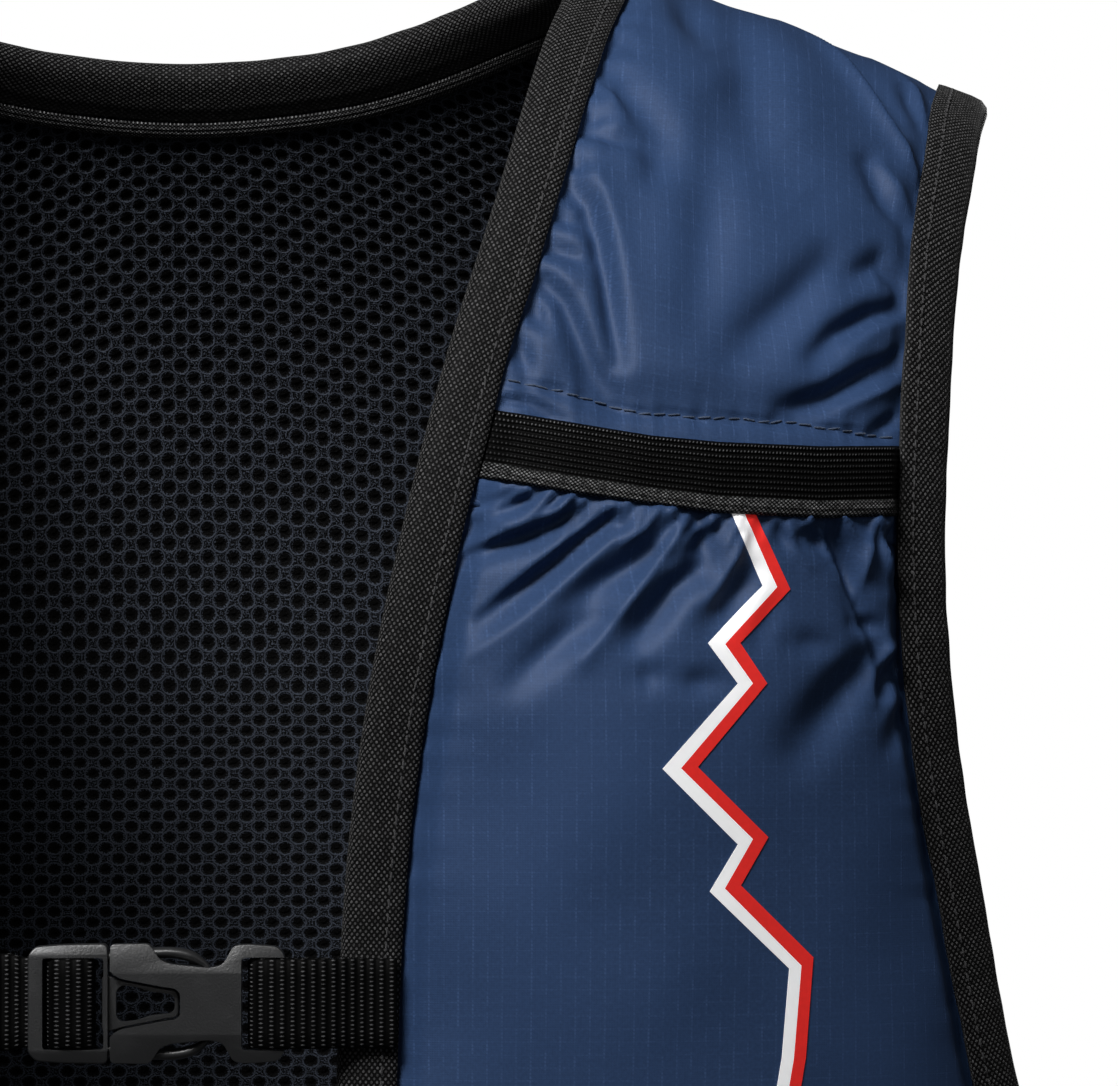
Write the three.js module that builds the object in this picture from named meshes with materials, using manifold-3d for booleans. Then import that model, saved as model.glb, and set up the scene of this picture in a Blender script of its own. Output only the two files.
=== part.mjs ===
// A running hydration vest: mesh-lined back and fronts in ripstop, taped edges, a gathered flask
// pocket under an elastic band on each front, a reservoir pocket on the back, and a sternum strap
// with a side-release buckle.
// Millimetres, +Z up, +X to the wearer's left, the front faces -Y. The origin lies midway between
// the shoulders, at the height at which the vest sits on them.
import * as THREE from "three";
import { mergeVertices } from "three/addons/utils/BufferGeometryUtils.js";
import Module from "manifold-3d";

const wasm = await Module();
wasm.setup();

// The torso that the vest fits: level sections are superellipses, and above the arch's start the
// front and back lean together over the shoulders in half ellipses.
const TORSO = { halfWidth: 175, frontDepth: 105, backDepth: 100, power: 2.6 };
const ARCH_START_Z = -120;
const ARCH_LENGTH = 180;
const HEM_Z = -345;
const WAIST = { startZ: -180, taper: 0.05 };
const CREST = { neckX: 75, neckZ: 14, slope: 0.4, softness: 30 };

// Cloth, tape and clearances
const TAPE_WIDTH = 10.4;
const TAPE_TOP = 4.8;
const TAPE_UNDER = -0.8;
const CLEAR = 0.5;
const CUT = TAPE_WIDTH + CLEAR;
const MESH_WALL = 2.6;
const CLOTH_BASE = 3.4;
const CLOTH_WALL = 1;
const SEAM_LEVEL = 192;
const SEAM_GAP = 0.2;

// Free edge of the neckline and front opening, from the middle of the back to the hem's corner
const NECK_EDGE = [
  { x: 0, z: -1, face: 1 },
  { x: 26, z: 1, face: 1 },
  { x: 41, z: 4.5, face: 1 },
  { x: 56, z: 9.5, face: 1 },
  { x: 68, z: 13, face: 1 },
  { x: 73.5, z: 14.6, face: 0 },
  { x: 71.5, z: 7, face: -1 },
  { x: 67.4, z: -3.4, face: -1 },
  { x: 59, z: -32.4, face: -1 },
  { x: 50.8, z: -59.4, face: -1 },
  { x: 43.1, z: -90.4, face: -1 },
  { x: 37.7, z: -117.5, face: -1 },
  { x: 34, z: -147.8, face: -1 },
  { x: 32.4, z: -182.4, face: -1 },
  { x: 31.5, z: -240, face: -1 },
  { x: 31.5, z: -300, face: -1 },
  { x: 32.4, z: -318, face: -1 },
  { x: 36.5, z: -332, face: -1 },
  { x: 44, z: -341, face: -1 },
  { x: 54, z: -344.7, face: -1 },
  { x: 66, z: -345, face: -1 },
];

// Free edge of the left armhole, from the shoulder's crest down the front, under the arm and back up
const ARMHOLE_EDGE = [
  { x: 148.8, z: -14.5, face: 0 },
  { x: 146.6, z: -19, face: -1 },
  { x: 144.3, z: -28.2, face: -1 },
  { x: 141.2, z: -43, face: -1 },
  { x: 139, z: -64, face: -1 },
  { x: 137.6, z: -90.5, face: -1 },
  { x: 138.3, z: -111, face: -1 },
  { x: 140.7, z: -132, face: -1 },
  { x: 144.2, z: -153.3, face: -1 },
  { x: 150.2, z: -186, face: -1 },
  { x: 157.5, z: -212, face: -1 },
  { x: 166, z: -236, face: -1 },
  { x: 173.4, z: -251, face: 0 },
  { x: 166, z: -240, face: 1 },
  { x: 155, z: -215, face: 1 },
  { x: 147, z: -185, face: 1 },
  { x: 140.5, z: -148, face: 1 },
  { x: 137.5, z: -110, face: 1 },
  { x: 138.5, z: -72, face: 1 },
  { x: 143, z: -37, face: 1 },
  { x: 147, z: -20, face: 1 },
];

// Heights of the front pocket's elastic band and of the seam above it, across the front
const BAND_LINE = [
  { x: 55, top: -68, bottom: -79.5, seam: -62 },
  { x: 70, top: -70.2, bottom: -82.2, seam: -65 },
  { x: 84, top: -71.9, bottom: -84.2, seam: -67.8 },
  { x: 95, top: -73, bottom: -85.3, seam: -69.2 },
  { x: 112, top: -74.1, bottom: -86.2, seam: -70.9 },
  { x: 130, top: -74.7, bottom: -86.3, seam: -73.4 },
];
const BAND = { base: 5, wall: 1.6, lip: 0.9, bulge: 8 };
const BAND_GAP = 0.6;
const PANEL_UNDER_BAND = 6;
const PANEL_PUFF = 3.6;
const BACK_BAND = { topZ: -62, height: 14, droop: 5 };

// Folds that a section of cloth holds: a ridge or valley from (u0, v0) to (u1, v1), where u runs
// from the opening's tape to the armhole's and v from the hem or seam upwards
const POCKET_FOLDS = [
  { u0: 0.06, v0: 0.86, u1: 0.42, v1: 0.99, width: 0.04, height: 2 },
  { u0: 0.1, v0: 0.78, u1: 0.36, v1: 0.96, width: 0.035, height: -1.4 },
  { u0: 0.2, v0: 0.72, u1: 0.5, v1: 0.97, width: 0.04, height: 1.5 },
  { u0: 0.34, v0: 0.76, u1: 0.52, v1: 0.95, width: 0.035, height: -1.5 },
  { u0: 0.52, v0: 0.74, u1: 0.66, v1: 0.94, width: 0.04, height: 1.2 },
  { u0: 0.98, v0: 0.7, u1: 0.78, v1: 0.97, width: 0.04, height: 1.5 },
  { u0: 0.74, v0: 0.6, u1: 0.97, v1: 0.84, width: 0.045, height: -1.5 },
  { u0: 0.86, v0: 0.5, u1: 0.99, v1: 0.74, width: 0.045, height: 1.3 },
];
const SHOULDER_FOLDS = [
  { u0: 0.02, v0: 0.42, u1: 0.22, v1: 0.12, width: 0.04, height: -1.5 },
  { u0: 0.06, v0: 0.52, u1: 0.32, v1: 0.16, width: 0.045, height: 1.1 },
  { u0: 0.98, v0: 0.3, u1: 0.6, v1: 0.08, width: 0.045, height: -1.4 },
  { u0: 0.98, v0: 0.42, u1: 0.7, v1: 0.2, width: 0.05, height: 1.1 },
  { u0: 0.4, v0: 0.86, u1: 0.62, v1: 0.48, width: 0.05, height: -1.3 },
  { u0: 0.5, v0: 0.88, u1: 0.95, v1: 0.52, width: 0.045, height: 1.4 },
];
const BACK_FOLDS = [
  { u0: 0.12, v0: 0.7, u1: 0.28, v1: 0.97, width: 0.03, height: -1.6 },
  { u0: 0.3, v0: 0.68, u1: 0.38, v1: 0.97, width: 0.03, height: 1.5 },
  { u0: 0.5, v0: 0.62, u1: 0.5, v1: 0.97, width: 0.03, height: -1.3 },
  { u0: 0.7, v0: 0.68, u1: 0.62, v1: 0.97, width: 0.03, height: 1.5 },
  { u0: 0.88, v0: 0.7, u1: 0.72, v1: 0.97, width: 0.03, height: -1.6 },
];
const GATHER = { count: 7, backCount: 7, height: 0.9, reach: 0.1 };

// Sternum strap and buckle, in the middle of the front opening
const STRAP_STEPS = 32;
const STRAP = { z: -170, width: 15.6, wall: 1.4, seamX: 43 };
const BUCKLE_Y = -111.4;

const COLOURS = {
  mesh: 0x14161c,
  ripstop: 0x2b4270,
  tape: 0x1b1a1a,
  elastic: 0x121212,
  webbing: 0x17171a,
  plastic: 0x333437,
};

const mix = (a, b, t) => a + (b - a) * t;
const smooth = (t) => {
  const c = Math.min(1, Math.max(0, t));
  return c * c * (3 - 2 * c);
};
const steps = (n) => Array.from({ length: n + 1 }, (_, i) => i / n);

function crestZ(x) {
  const bend = (v) => Math.hypot(v, CREST.softness);
  return CREST.neckZ - CREST.slope * (bend(x) - bend(CREST.neckX));
}

const taper = (z) => 1 - WAIST.taper * smooth((WAIST.startZ - z) / (WAIST.startZ - HEM_Z));
const faceDepth = (y) => (y > 0 ? TORSO.backDepth : TORSO.frontDepth);

// Depth of a level section at x, in front of or behind the middle
function sectionDepth(x, z, face) {
  const share = Math.min(1, Math.abs(x) / (TORSO.halfWidth * taper(z)));
  return faceDepth(face) * taper(z) * (1 - share ** TORSO.power) ** (1 / TORSO.power);
}

// The torso's point at x and height z, on the face asked for; face 0 is the crest or the side
function onTorso({ x, z, face }) {
  if (face === 0) return new THREE.Vector3(x, 0, z);
  const rise = Math.min(1, Math.max(0, (z - ARCH_START_Z) / (crestZ(x) - ARCH_START_Z)));
  return new THREE.Vector3(x, face * sectionDepth(x, z, face) * Math.sqrt(1 - rise * rise), z);
}

// Zero on the torso, below zero inside
function torsoValue(p) {
  if (p.z < ARCH_START_Z) {
    const across = Math.abs(p.x) / (TORSO.halfWidth * taper(p.z));
    const deep = Math.abs(p.y) / (faceDepth(p.y) * taper(p.z));
    return across ** TORSO.power + deep ** TORSO.power - 1;
  }
  const rise = (p.z - ARCH_START_Z) / (crestZ(p.x) - ARCH_START_Z);
  return (p.y / sectionDepth(p.x, ARCH_START_Z, p.y)) ** 2 + rise * rise - 1;
}

function torsoGradient(p) {
  const step = 0.05;
  const slope = (axis) => {
    const ahead = p.clone();
    const behind = p.clone();
    ahead[axis] += step;
    behind[axis] -= step;
    return (torsoValue(ahead) - torsoValue(behind)) / (2 * step);
  };
  return new THREE.Vector3(slope("x"), slope("y"), slope("z"));
}

const outward = (p) => torsoGradient(p).normalize();

// The torso's point nearest to p
function settle(p) {
  const q = p.clone();
  for (let i = 0; i < 4; i++) {
    const g = torsoGradient(q);
    q.addScaledVector(g, -torsoValue(q) / g.lengthSq());
  }
  return q;
}

// A level counts millimetres up the front, over the shoulder and down the back
const BACK_START = 2 * ARCH_LENGTH;
const HEM_LEVEL = HEM_Z - ARCH_START_Z;

function atLevel(x, level) {
  if (level < 0) return onTorso({ x, z: ARCH_START_Z + level, face: -1 });
  if (level > BACK_START) return onTorso({ x, z: ARCH_START_Z - (level - BACK_START), face: 1 });
  const turn = (level / ARCH_LENGTH) * (Math.PI / 2);
  const face = turn > Math.PI / 2 ? 1 : -1;
  const y = -sectionDepth(x, ARCH_START_Z, face) * Math.cos(turn);
  return new THREE.Vector3(x, y, ARCH_START_Z + (crestZ(x) - ARCH_START_Z) * Math.sin(turn));
}

function levelOf(p) {
  if (p.z < ARCH_START_Z) {
    return p.y <= 0 ? p.z - ARCH_START_Z : BACK_START + ARCH_START_Z - p.z;
  }
  const rise = (p.z - ARCH_START_Z) / (crestZ(p.x) - ARCH_START_Z);
  const lean = -p.y / sectionDepth(p.x, ARCH_START_Z, p.y);
  return (Math.atan2(rise, lean) / (Math.PI / 2)) * ARCH_LENGTH;
}

// Point of a level section at an angle from the middle of the front, 180 being the back's middle
function atAngle(angle, z) {
  const face = Math.cos(angle) < 0 ? 1 : -1;
  const across = Math.abs(Math.sin(angle)) / (TORSO.halfWidth * taper(z));
  const deep = Math.abs(Math.cos(angle)) / (faceDepth(face) * taper(z));
  const reach = (across ** TORSO.power + deep ** TORSO.power) ** (-1 / TORSO.power);
  return new THREE.Vector3(reach * Math.sin(angle), -reach * Math.cos(angle), z);
}
const angleOf = (p) => Math.atan2(p.x, -p.y);

// A smooth edge on the torso, and the lines beside it on the cloth's side, counted by one index
function edge(rows, count, toCloth, closed = false) {
  const curve = new THREE.CatmullRomCurve3(rows.map(onTorso), false, "centripetal");
  const line = curve.getSpacedPoints(count).map(settle);
  if (closed) line.pop();
  const n = line.length;
  const next = (i) => (closed ? (i + 1) % n : Math.min(i + 1, n - 1));
  const previous = (i) => (closed ? (i + n - 1) % n : Math.max(i - 1, 0));
  const sides = line.map((p, i) => {
    const along = line[next(i)].clone().sub(line[previous(i)]).normalize();
    return outward(p).cross(along).normalize().multiplyScalar(toCloth);
  });
  const at = (index, distance) => {
    const i = Math.min(Math.floor(index), n - 1);
    const t = index - i;
    const p = line[i].clone().lerp(line[next(i)], t);
    return settle(p.addScaledVector(sides[i].clone().lerp(sides[next(i)], t).normalize(), distance));
  };
  return { at, cut: line.map((p, i) => at(i, CUT)), count: n };
}

// Where the line at which the cloth is cut crosses a level, as an index between first and last
function indexAt(line, level, first, last) {
  for (let i = first + 1; i <= last; i++) {
    const before = levelOf(line.cut[i - 1]);
    const after = levelOf(line.cut[i % line.count]);
    if ((before - level) * (after - level) <= 0 && before !== after) {
      return i - 1 + (level - before) / (after - before);
    }
  }
  const gap = (i) => Math.abs(levelOf(line.cut[i % line.count]) - level);
  return gap(first) < gap(last) ? first : last;
}

// Solids: a sheet with an inner and an outer face, between two offsets from the torso
function geometryFrom(positions, faces) {
  const geometry = new THREE.BufferGeometry();
  geometry.setAttribute("position", new THREE.Float32BufferAttribute(positions, 3));
  geometry.setIndex(faces);
  return geometry;
}

function solidOf(geometry) {
  const bare = geometry.clone();
  bare.deleteAttribute("normal");
  bare.deleteAttribute("uv");
  const merged = mergeVertices(bare, 1e-4);
  const mesh = new wasm.Mesh({
    numProp: 3,
    vertProperties: new Float32Array(merged.attributes.position.array),
    triVerts: new Uint32Array(merged.index.array),
  });
  const solid = new wasm.Manifold(mesh);
  if (solid.volume() > 0) return solid;
  const turned = Uint32Array.from(mesh.triVerts);
  for (let i = 0; i < turned.length; i += 3) {
    [turned[i], turned[i + 1]] = [turned[i + 1], turned[i]];
  }
  return new wasm.Manifold(
    new wasm.Mesh({ numProp: 3, vertProperties: mesh.vertProperties, triVerts: turned }),
  );
}

function geometryOf(solid) {
  const mesh = solid.getMesh();
  return geometryFrom(Array.from(mesh.vertProperties), Array.from(mesh.triVerts));
}

function sheet(pointAt, us, vs, inner, outer, closed = false) {
  const positions = [];
  const faces = [];
  const wide = us.length;
  const rows = vs.length;
  for (const offset of [outer, inner]) {
    for (const v of vs) {
      for (const u of us) {
        const p = pointAt(u, v);
        p.addScaledVector(outward(p), offset(u, v));
        positions.push(p.x, p.y, p.z);
      }
    }
  }
  const underside = wide * rows;
  const quad = (a, b, c, d) => faces.push(a, b, c, a, c, d);
  const lastRow = closed ? rows : rows - 1;
  for (let j = 0; j < lastRow; j++) {
    const near = j * wide;
    const far = ((j + 1) % rows) * wide;
    for (let i = 0; i + 1 < wide; i++) {
      quad(near + i, near + i + 1, far + i + 1, far + i);
      quad(
        underside + near + i,
        underside + far + i,
        underside + far + i + 1,
        underside + near + i + 1,
      );
    }
    const end = wide - 1;
    quad(near, far, underside + far, underside + near);
    quad(far + end, near + end, underside + near + end, underside + far + end);
  }
  if (!closed) {
    const top = (rows - 1) * wide;
    for (let i = 0; i + 1 < wide; i++) {
      quad(i + 1, i, underside + i, underside + i + 1);
      quad(top + i, top + i + 1, underside + top + i + 1, underside + top + i);
    }
  }
  return solidOf(geometryFrom(positions, faces));
}

// Tape folded over an edge: rounded where it turns, flat against the cloth on both faces.
// Each row is the share of the tape's width, and the offsets of its under and upper face.
const TAPE_SECTION = [
  { share: 0, under: 1.1, upper: 2.9 },
  { share: 0.14, under: -0.5, upper: 4.5 },
  { share: 1, under: TAPE_UNDER, upper: TAPE_TOP },
];
function tape(pointAt, indices, closed) {
  return sheet(
    (row, index) => pointAt(index, row.share * TAPE_WIDTH),
    TAPE_SECTION,
    indices,
    (row) => row.under,
    (row) => row.upper,
    closed,
  );
}

// Smooth height of the folds and gathers of a section of cloth
function foldHeight(folds, u, v) {
  return folds.reduce((sum, f) => {
    const du = f.u1 - f.u0;
    const dv = f.v1 - f.v0;
    const t = ((u - f.u0) * du + (v - f.v0) * dv) / (du * du + dv * dv);
    const near = Math.min(1, Math.max(0, t));
    const apart = Math.hypot(u - f.u0 - near * du, v - f.v0 - near * dv);
    return sum + f.height * Math.exp(-((apart / f.width) ** 2)) * Math.sin(Math.PI * mix(0.15, 0.85, near));
  }, 0);
}

const gatherHeight = (count, u, v) =>
  GATHER.height * Math.cos(2 * Math.PI * count * u) * Math.exp((v - 1) / GATHER.reach);

// Rises from the seams at the sides to the middle
const crown = (u) => Math.sin(Math.PI * Math.min(1, Math.max(0, u))) ** 0.7;

// Borders of the cloth: the neckline's index falls as the level rises, and the armhole runs down
// the front to the under-arm and up the back
const neck = edge(NECK_EDGE, 220, 1);
const armhole = edge([...ARMHOLE_EDGE, ARMHOLE_EDGE[0]], 240, -1, true);
const underArm = armhole.cut.reduce((low, p, i) => (p.z < armhole.cut[low].z ? i : low), 0);

const neckIndex = (level) => indexAt(neck, level, 0, neck.count - 1);
function armholeIndex(level) {
  if (level < ARCH_LENGTH) return indexAt(armhole, level, 0, underArm);
  return indexAt(armhole, level, underArm, armhole.count);
}

// Under the arm a side panel joins the front and the back along seams that run straight down
const SIDE_SEAM_LEVEL = -100;
const SIDE_GAP = 0.0028;
const SIDE_TOP_DROP = 0.9;
const frontSeamIndex = armholeIndex(SIDE_SEAM_LEVEL);
const backSeamIndex = armholeIndex(BACK_START - SIDE_SEAM_LEVEL);
const frontSeamAngle = angleOf(armhole.at(frontSeamIndex, CUT));
const backSeamAngle = angleOf(armhole.at(backSeamIndex, CUT));

function outerBorder(level) {
  const front = level < ARCH_LENGTH;
  const fromHem = front ? level : BACK_START - level;
  if (fromHem > SIDE_SEAM_LEVEL) return armhole.at(armholeIndex(level), CUT);
  return atAngle(front ? frontSeamAngle : backSeamAngle, ARCH_START_Z + fromHem);
}

// Spreads a row of cloth between two border points: by x over the chest, by angle near the sides
function between(a, b, u, level) {
  const byX = atLevel(mix(a.x, b.x, u), level);
  const drop = level > BACK_START ? BACK_START - level : level;
  const share = smooth((-60 - drop) / 90);
  if (share === 0) return byX;
  const angle = mix(angleOf(byX), mix(angleOf(a), angleOf(b), u), share);
  return atAngle(angle, byX.z);
}

// Level of a height at x, which the shoulder's slope changes from side to side
const levelAt = (x, z, face = -1) => levelOf(onTorso({ x, z, face }));

// A row of cloth is the level it follows, as a function of x in front and of the column behind,
// and v, the share of the piece's height at which it lies
const fixed = (level) => ({ level: () => level });
const towards = (from, line, t) => ({ level: (x) => mix(from, line(x), t) });
function measured(rows, x) {
  const low = rows[0].level(x);
  const high = rows.at(-1).level(x);
  return rows.map((row) => ({ ...row, v: (row.level(x) - low) / (high - low) }));
}

// Fronts: left side only, the right is its mirror image
const bottomLevel = HEM_LEVEL + CUT;
const SIDE_LEVELS = [bottomLevel, -211, -204, -176, -138, SIDE_SEAM_LEVEL, -84, -64, -40];
const CHEST_LEVELS = [80, 104, 126, 146, 164, 178, SEAM_LEVEL - SEAM_GAP];

function frontAt(u, row) {
  let level = row.level(mix(45, 135, u));
  let p;
  for (let i = 0; i < 4; i++) {
    p = between(neck.at(neckIndex(level), CUT), outerBorder(level), u, level);
    level = row.level(p.x);
  }
  return p;
}

function bandHeights(x) {
  const rows = BAND_LINE;
  const place = Math.min(Math.max(x, rows[0].x), rows.at(-1).x);
  const i = Math.max(1, rows.findIndex((r) => r.x >= place));
  const [a, b] = [rows[i - 1], rows[i]];
  const t = (place - a.x) / (b.x - a.x);
  return { top: mix(a.top, b.top, t), bottom: mix(a.bottom, b.bottom, t), seam: mix(a.seam, b.seam, t) };
}
const bandTop = (x) => levelAt(x, bandHeights(x).top);
const bandBottom = (x) => levelAt(x, bandHeights(x).bottom);
const pocketTop = (x) => levelAt(x, bandHeights(x).bottom - BAND_GAP);
const panelBottom = (x) => levelAt(x, bandHeights(x).bottom - PANEL_UNDER_BAND);

const liningRows = measured([...SIDE_LEVELS, -8, 24, 54, ...CHEST_LEVELS].map(fixed), 100);
const pocketRows = measured(
  [...SIDE_LEVELS.map(fixed), ...[0.35, 0.62, 0.82, 0.93, 1].map((t) => towards(-40, pocketTop, t))],
  100,
);
const bandRows = [0, 0.22, 0.26, 1].map((v) => ({ level: (x) => mix(bandBottom(x), bandTop(x), v), v }));
const lowerPanelRows = [1, 0.75, 0.5, 0.25].map((t) => towards(CHEST_LEVELS[0], panelBottom, t));
const panelRows = measured([...lowerPanelRows, ...CHEST_LEVELS.map(fixed)], 100);

// Offsets of the cloth's inner faces from the torso
const bulgeAlong = (v, low, high, mouth) =>
  (mix(low, high, smooth(v / 0.85)) - (high - mouth) * smooth((v - 0.8) / 0.2)) * smooth((v + 0.01) / 0.14);
const seamRise = (v, start = 0.8) => mix(CLOTH_BASE, BAND.base, smooth((v - start) / (1 - start)));
const clearOfEdges = (u) => Math.min(1, 7 * u, 7 * (1 - u));

const pocketInner = (u, { v }) =>
  seamRise(v) +
  crown(u) * bulgeAlong(v, 7, 10, BAND.bulge) +
  clearOfEdges(u) * (foldHeight(POCKET_FOLDS, u, v) + gatherHeight(GATHER.count, u, v));
const bandInner = (u) => BAND.base + BAND.bulge * crown(u);
const bandOuter = (u, { v }) => bandInner(u) + BAND.wall + (v < 0.24 ? BAND.lip : 0);
const panelInner = (u, { v }) => {
  const aboveSeam = smooth((v - 0.14) / 0.16);
  const puff = PANEL_PUFF * crown(u) * (1 - smooth((v - 0.65) / 0.35));
  const folds = clearOfEdges(u) * foldHeight(SHOULDER_FOLDS, u, v);
  return CLOTH_BASE + aboveSeam * (puff + folds);
};

// Side panel: columns at set angles, from the hem up to the armhole
const sideIndices = steps(8).map((t) => mix(frontSeamIndex, backSeamIndex, t));
function sideAt(t, rise) {
  const top = armhole.at(mix(frontSeamIndex, backSeamIndex, t), CUT);
  const low = bottomLevel + ARCH_START_Z;
  const inset = SIDE_GAP * (1 - 2 * t);
  const high = top.z - SIDE_TOP_DROP * (1 - 2 * t) ** 4;
  return atAngle(angleOf(top) + inset, mix(low, high, rise));
}

// Back: columns of cloth run from the hem up to the shoulder seam or the neckline. A column is
// named by its share of the half width, and CORNER is the one that meets the neckline's corner.
const BACK_LEVELS = SIDE_LEVELS.map((level) => BACK_START - level).filter((level) => level > 395);
const UPPER_BACK = 372;
const CORNER = 0.56;
const halfColumns = [0, 0.11, 0.22, 0.33, 0.44, CORNER, 0.68, 0.79, 0.88, 0.95, 1];
const backColumns = [...halfColumns.slice(1).map((s) => -s).reverse(), ...halfColumns];
const seamLevel = SEAM_LEVEL + SEAM_GAP;
const cornerIndex = neckIndex(seamLevel);
const topIndex = (share) => cornerIndex * Math.min(1, share / CORNER);

function topPoint(share) {
  const corner = neck.at(cornerIndex, CUT);
  if (share <= CORNER) return neck.at(topIndex(share), CUT);
  return atLevel(mix(corner.x, outerBorder(seamLevel).x, (share - CORNER) / (1 - CORNER)), seamLevel);
}

function backAt(column, row) {
  const share = Math.abs(column);
  const top = topPoint(share);
  const topShare = top.x / outerBorder(levelOf(top)).x;
  const level = row.level(share);
  const rise = Math.max(0, (UPPER_BACK - level) / (UPPER_BACK - levelOf(top)));
  const centre = new THREE.Vector3(0, 1, 0);
  const p = between(centre, outerBorder(level), mix(share, topShare, rise), level);
  p.x *= Math.sign(column) || 1;
  return p;
}

// The line across the back at a distance below the band's top, as a level at each column
function backLine(down) {
  return (share) => {
    let x = share * 135;
    let level = 0;
    for (let i = 0; i < 4; i++) {
      const z = BACK_BAND.topZ - BACK_BAND.droop * (1 - (x / 140) ** 2) - down;
      level = levelAt(x, z, 1);
      x = share * outerBorder(level).x;
    }
    return level;
  };
}
const backBandTop = backLine(0);
const backBandBottom = backLine(BACK_BAND.height);
const topLevel = (share) => levelOf(topPoint(share));

const lowerBack = BACK_LEVELS.map(fixed);
const toTop = (t) => towards(UPPER_BACK, topLevel, t);
const SHOULDER_STEPS = [0.52, 0.68, 0.84, 1];
const backMeshRows = [...lowerBack, fixed(UPPER_BACK), ...[0.18, 0.36, ...SHOULDER_STEPS].map(toTop)];
const yokeRows = [0.18, 0.36, ...SHOULDER_STEPS].map(toTop);
const reservoirTop = backLine(BACK_BAND.height + BAND_GAP);
const reservoirRows = measured(
  [...lowerBack, ...[0, 0.4, 0.7, 0.88, 1].map((t) => towards(UPPER_BACK, reservoirTop, t))],
  0.5,
);
const backBandRows = [0, 0.22, 0.26, 1].map((v) => ({
  level: (share) => mix(backBandBottom(share), backBandTop(share), v),
  v,
}));
const RESERVOIR = { low: 10, high: 16, mouth: 12 };
const fromSide = (column) => (column + 1) / 2;
const reservoirInner = (column, { v }) => {
  const u = fromSide(column);
  return (
    seamRise(v / 0.88, 0.7) +
    crown(u) * bulgeAlong(v, RESERVOIR.low, RESERVOIR.high, RESERVOIR.mouth) +
    clearOfEdges(u) * (foldHeight(BACK_FOLDS, u, v) + gatherHeight(GATHER.backCount, u, v))
  );
};
const backBandInner = (column) => BAND.base + RESERVOIR.mouth * crown(fromSide(column));
const backBandOuter = (column, { v }) => backBandInner(column) + BAND.wall + (v < 0.24 ? BAND.lip : 0);

// Buckle: flat outlines in the X-Z plane, extruded along Y with eased edges
function plate(points, thick, ease = 0) {
  const shape = new THREE.Shape(points.map(([x, z]) => new THREE.Vector2(x, z)));
  const geometry = new THREE.ExtrudeGeometry(shape, {
    depth: thick - 2 * ease,
    bevelEnabled: ease > 0,
    bevelThickness: ease,
    bevelSize: ease,
    bevelOffset: -ease,
    bevelSegments: 2,
    curveSegments: 6,
  });
  geometry.translate(0, 0, -(thick - 2 * ease) / 2);
  geometry.rotateX(Math.PI / 2);
  geometry.translate(0, BUCKLE_Y, STRAP.z);
  return solidOf(geometry);
}

// Corners of an outline rounded by short arcs
function rounded(points, radius) {
  const n = points.length;
  return points.flatMap(([x, z], i) => {
    const corner = new THREE.Vector2(x, z);
    const before = new THREE.Vector2(...points[(i + n - 1) % n]).sub(corner);
    const after = new THREE.Vector2(...points[(i + 1) % n]).sub(corner);
    const cut = Math.min(radius, before.length() * 0.45, after.length() * 0.45);
    const start = corner.clone().addScaledVector(before.normalize(), cut);
    const end = corner.clone().addScaledVector(after.normalize(), cut);
    return steps(2).map((t) => {
      const a = start.clone().lerp(corner, t);
      const b = corner.clone().lerp(end, t);
      return a.lerp(b, t).toArray();
    });
  });
}

const mirrorZ = (points) => [...points, ...points.map(([x, z]) => [x, -z]).reverse()];
const rectangle = ({ left, right, halfHeight }) => mirrorZ([[left, halfHeight], [right, halfHeight]]);

const SOCKET_OUTLINE = [
  [-6.6, 10.5], [0.4, 10.5], [1.6, 7.7], [6, 6.9], [11, 6.2],
  [12.6, 7], [14.8, 10.6], [23, 9.8], [23.8, 8.6],
];
const SLOT = { left: 16.2, right: 26, halfHeight: 8.3 };
const BAR = { left: 19.4, right: 22, halfHeight: 9, thick: 3 };
const THROAT = [[-6.7, 4.7], [-4.6, 3.9], [5, 2.9], [6, 2.1]];
const PRONG = [
  [-7.4, 8.8], [0.6, 8.8], [3, 9.9], [6.2, 9.7], [9, 8.6], [11.4, 7.1], [10.6, 6.9],
  [8.4, 7.8], [5.6, 8.3], [3, 8.3], [1, 7.9], [-0.4, 6.5], [-7.4, 6.2],
];
const TUNNEL = [[-7, 9.25], [2.6, 9.25], [2.6, 5.6], [-7, 5.6]];
const BUCKLE_THICK = { socket: 6.6, frame: 5.6, prong: 3.2, tunnel: 4 };
const THROUGH = 12;

function socketSolid() {
  const body = plate(rounded(mirrorZ(SOCKET_OUTLINE), 1.2), BUCKLE_THICK.socket, 0.7);
  const throat = plate(mirrorZ(THROAT), THROUGH);
  const slot = plate(rectangle(SLOT), THROUGH);
  const bar = plate(rectangle(BAR), BAR.thick, 0.6);
  const tunnels = [1, -1].map((side) =>
    plate(TUNNEL.map(([x, z]) => [x, side * z]), BUCKLE_THICK.tunnel),
  );
  return tunnels.reduce((made, t) => made.subtract(t), body.subtract(throat).subtract(slot)).add(bar);
}

const FRAME_OUTLINE = [[-20.8, 9.2], [-19, 10.5], [-7.1, 10.5]];
const FRAME_OPENING = { left: -18.4, right: -8.4, halfHeight: 8.2 };
const MIDDLE_BAR = { left: -15.6, right: -11.4, halfHeight: 9, thick: 2.6 };
const TONGUE = [[-7.6, 4.1], [-4.4, 3.4], [4.6, 2.4], [5.5, 1.8]];
const TONGUE_WINDOW = [[-5.7, 3.1], [-4.6, 2.7], [4, 1.8], [4.7, 1.2]];

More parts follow.
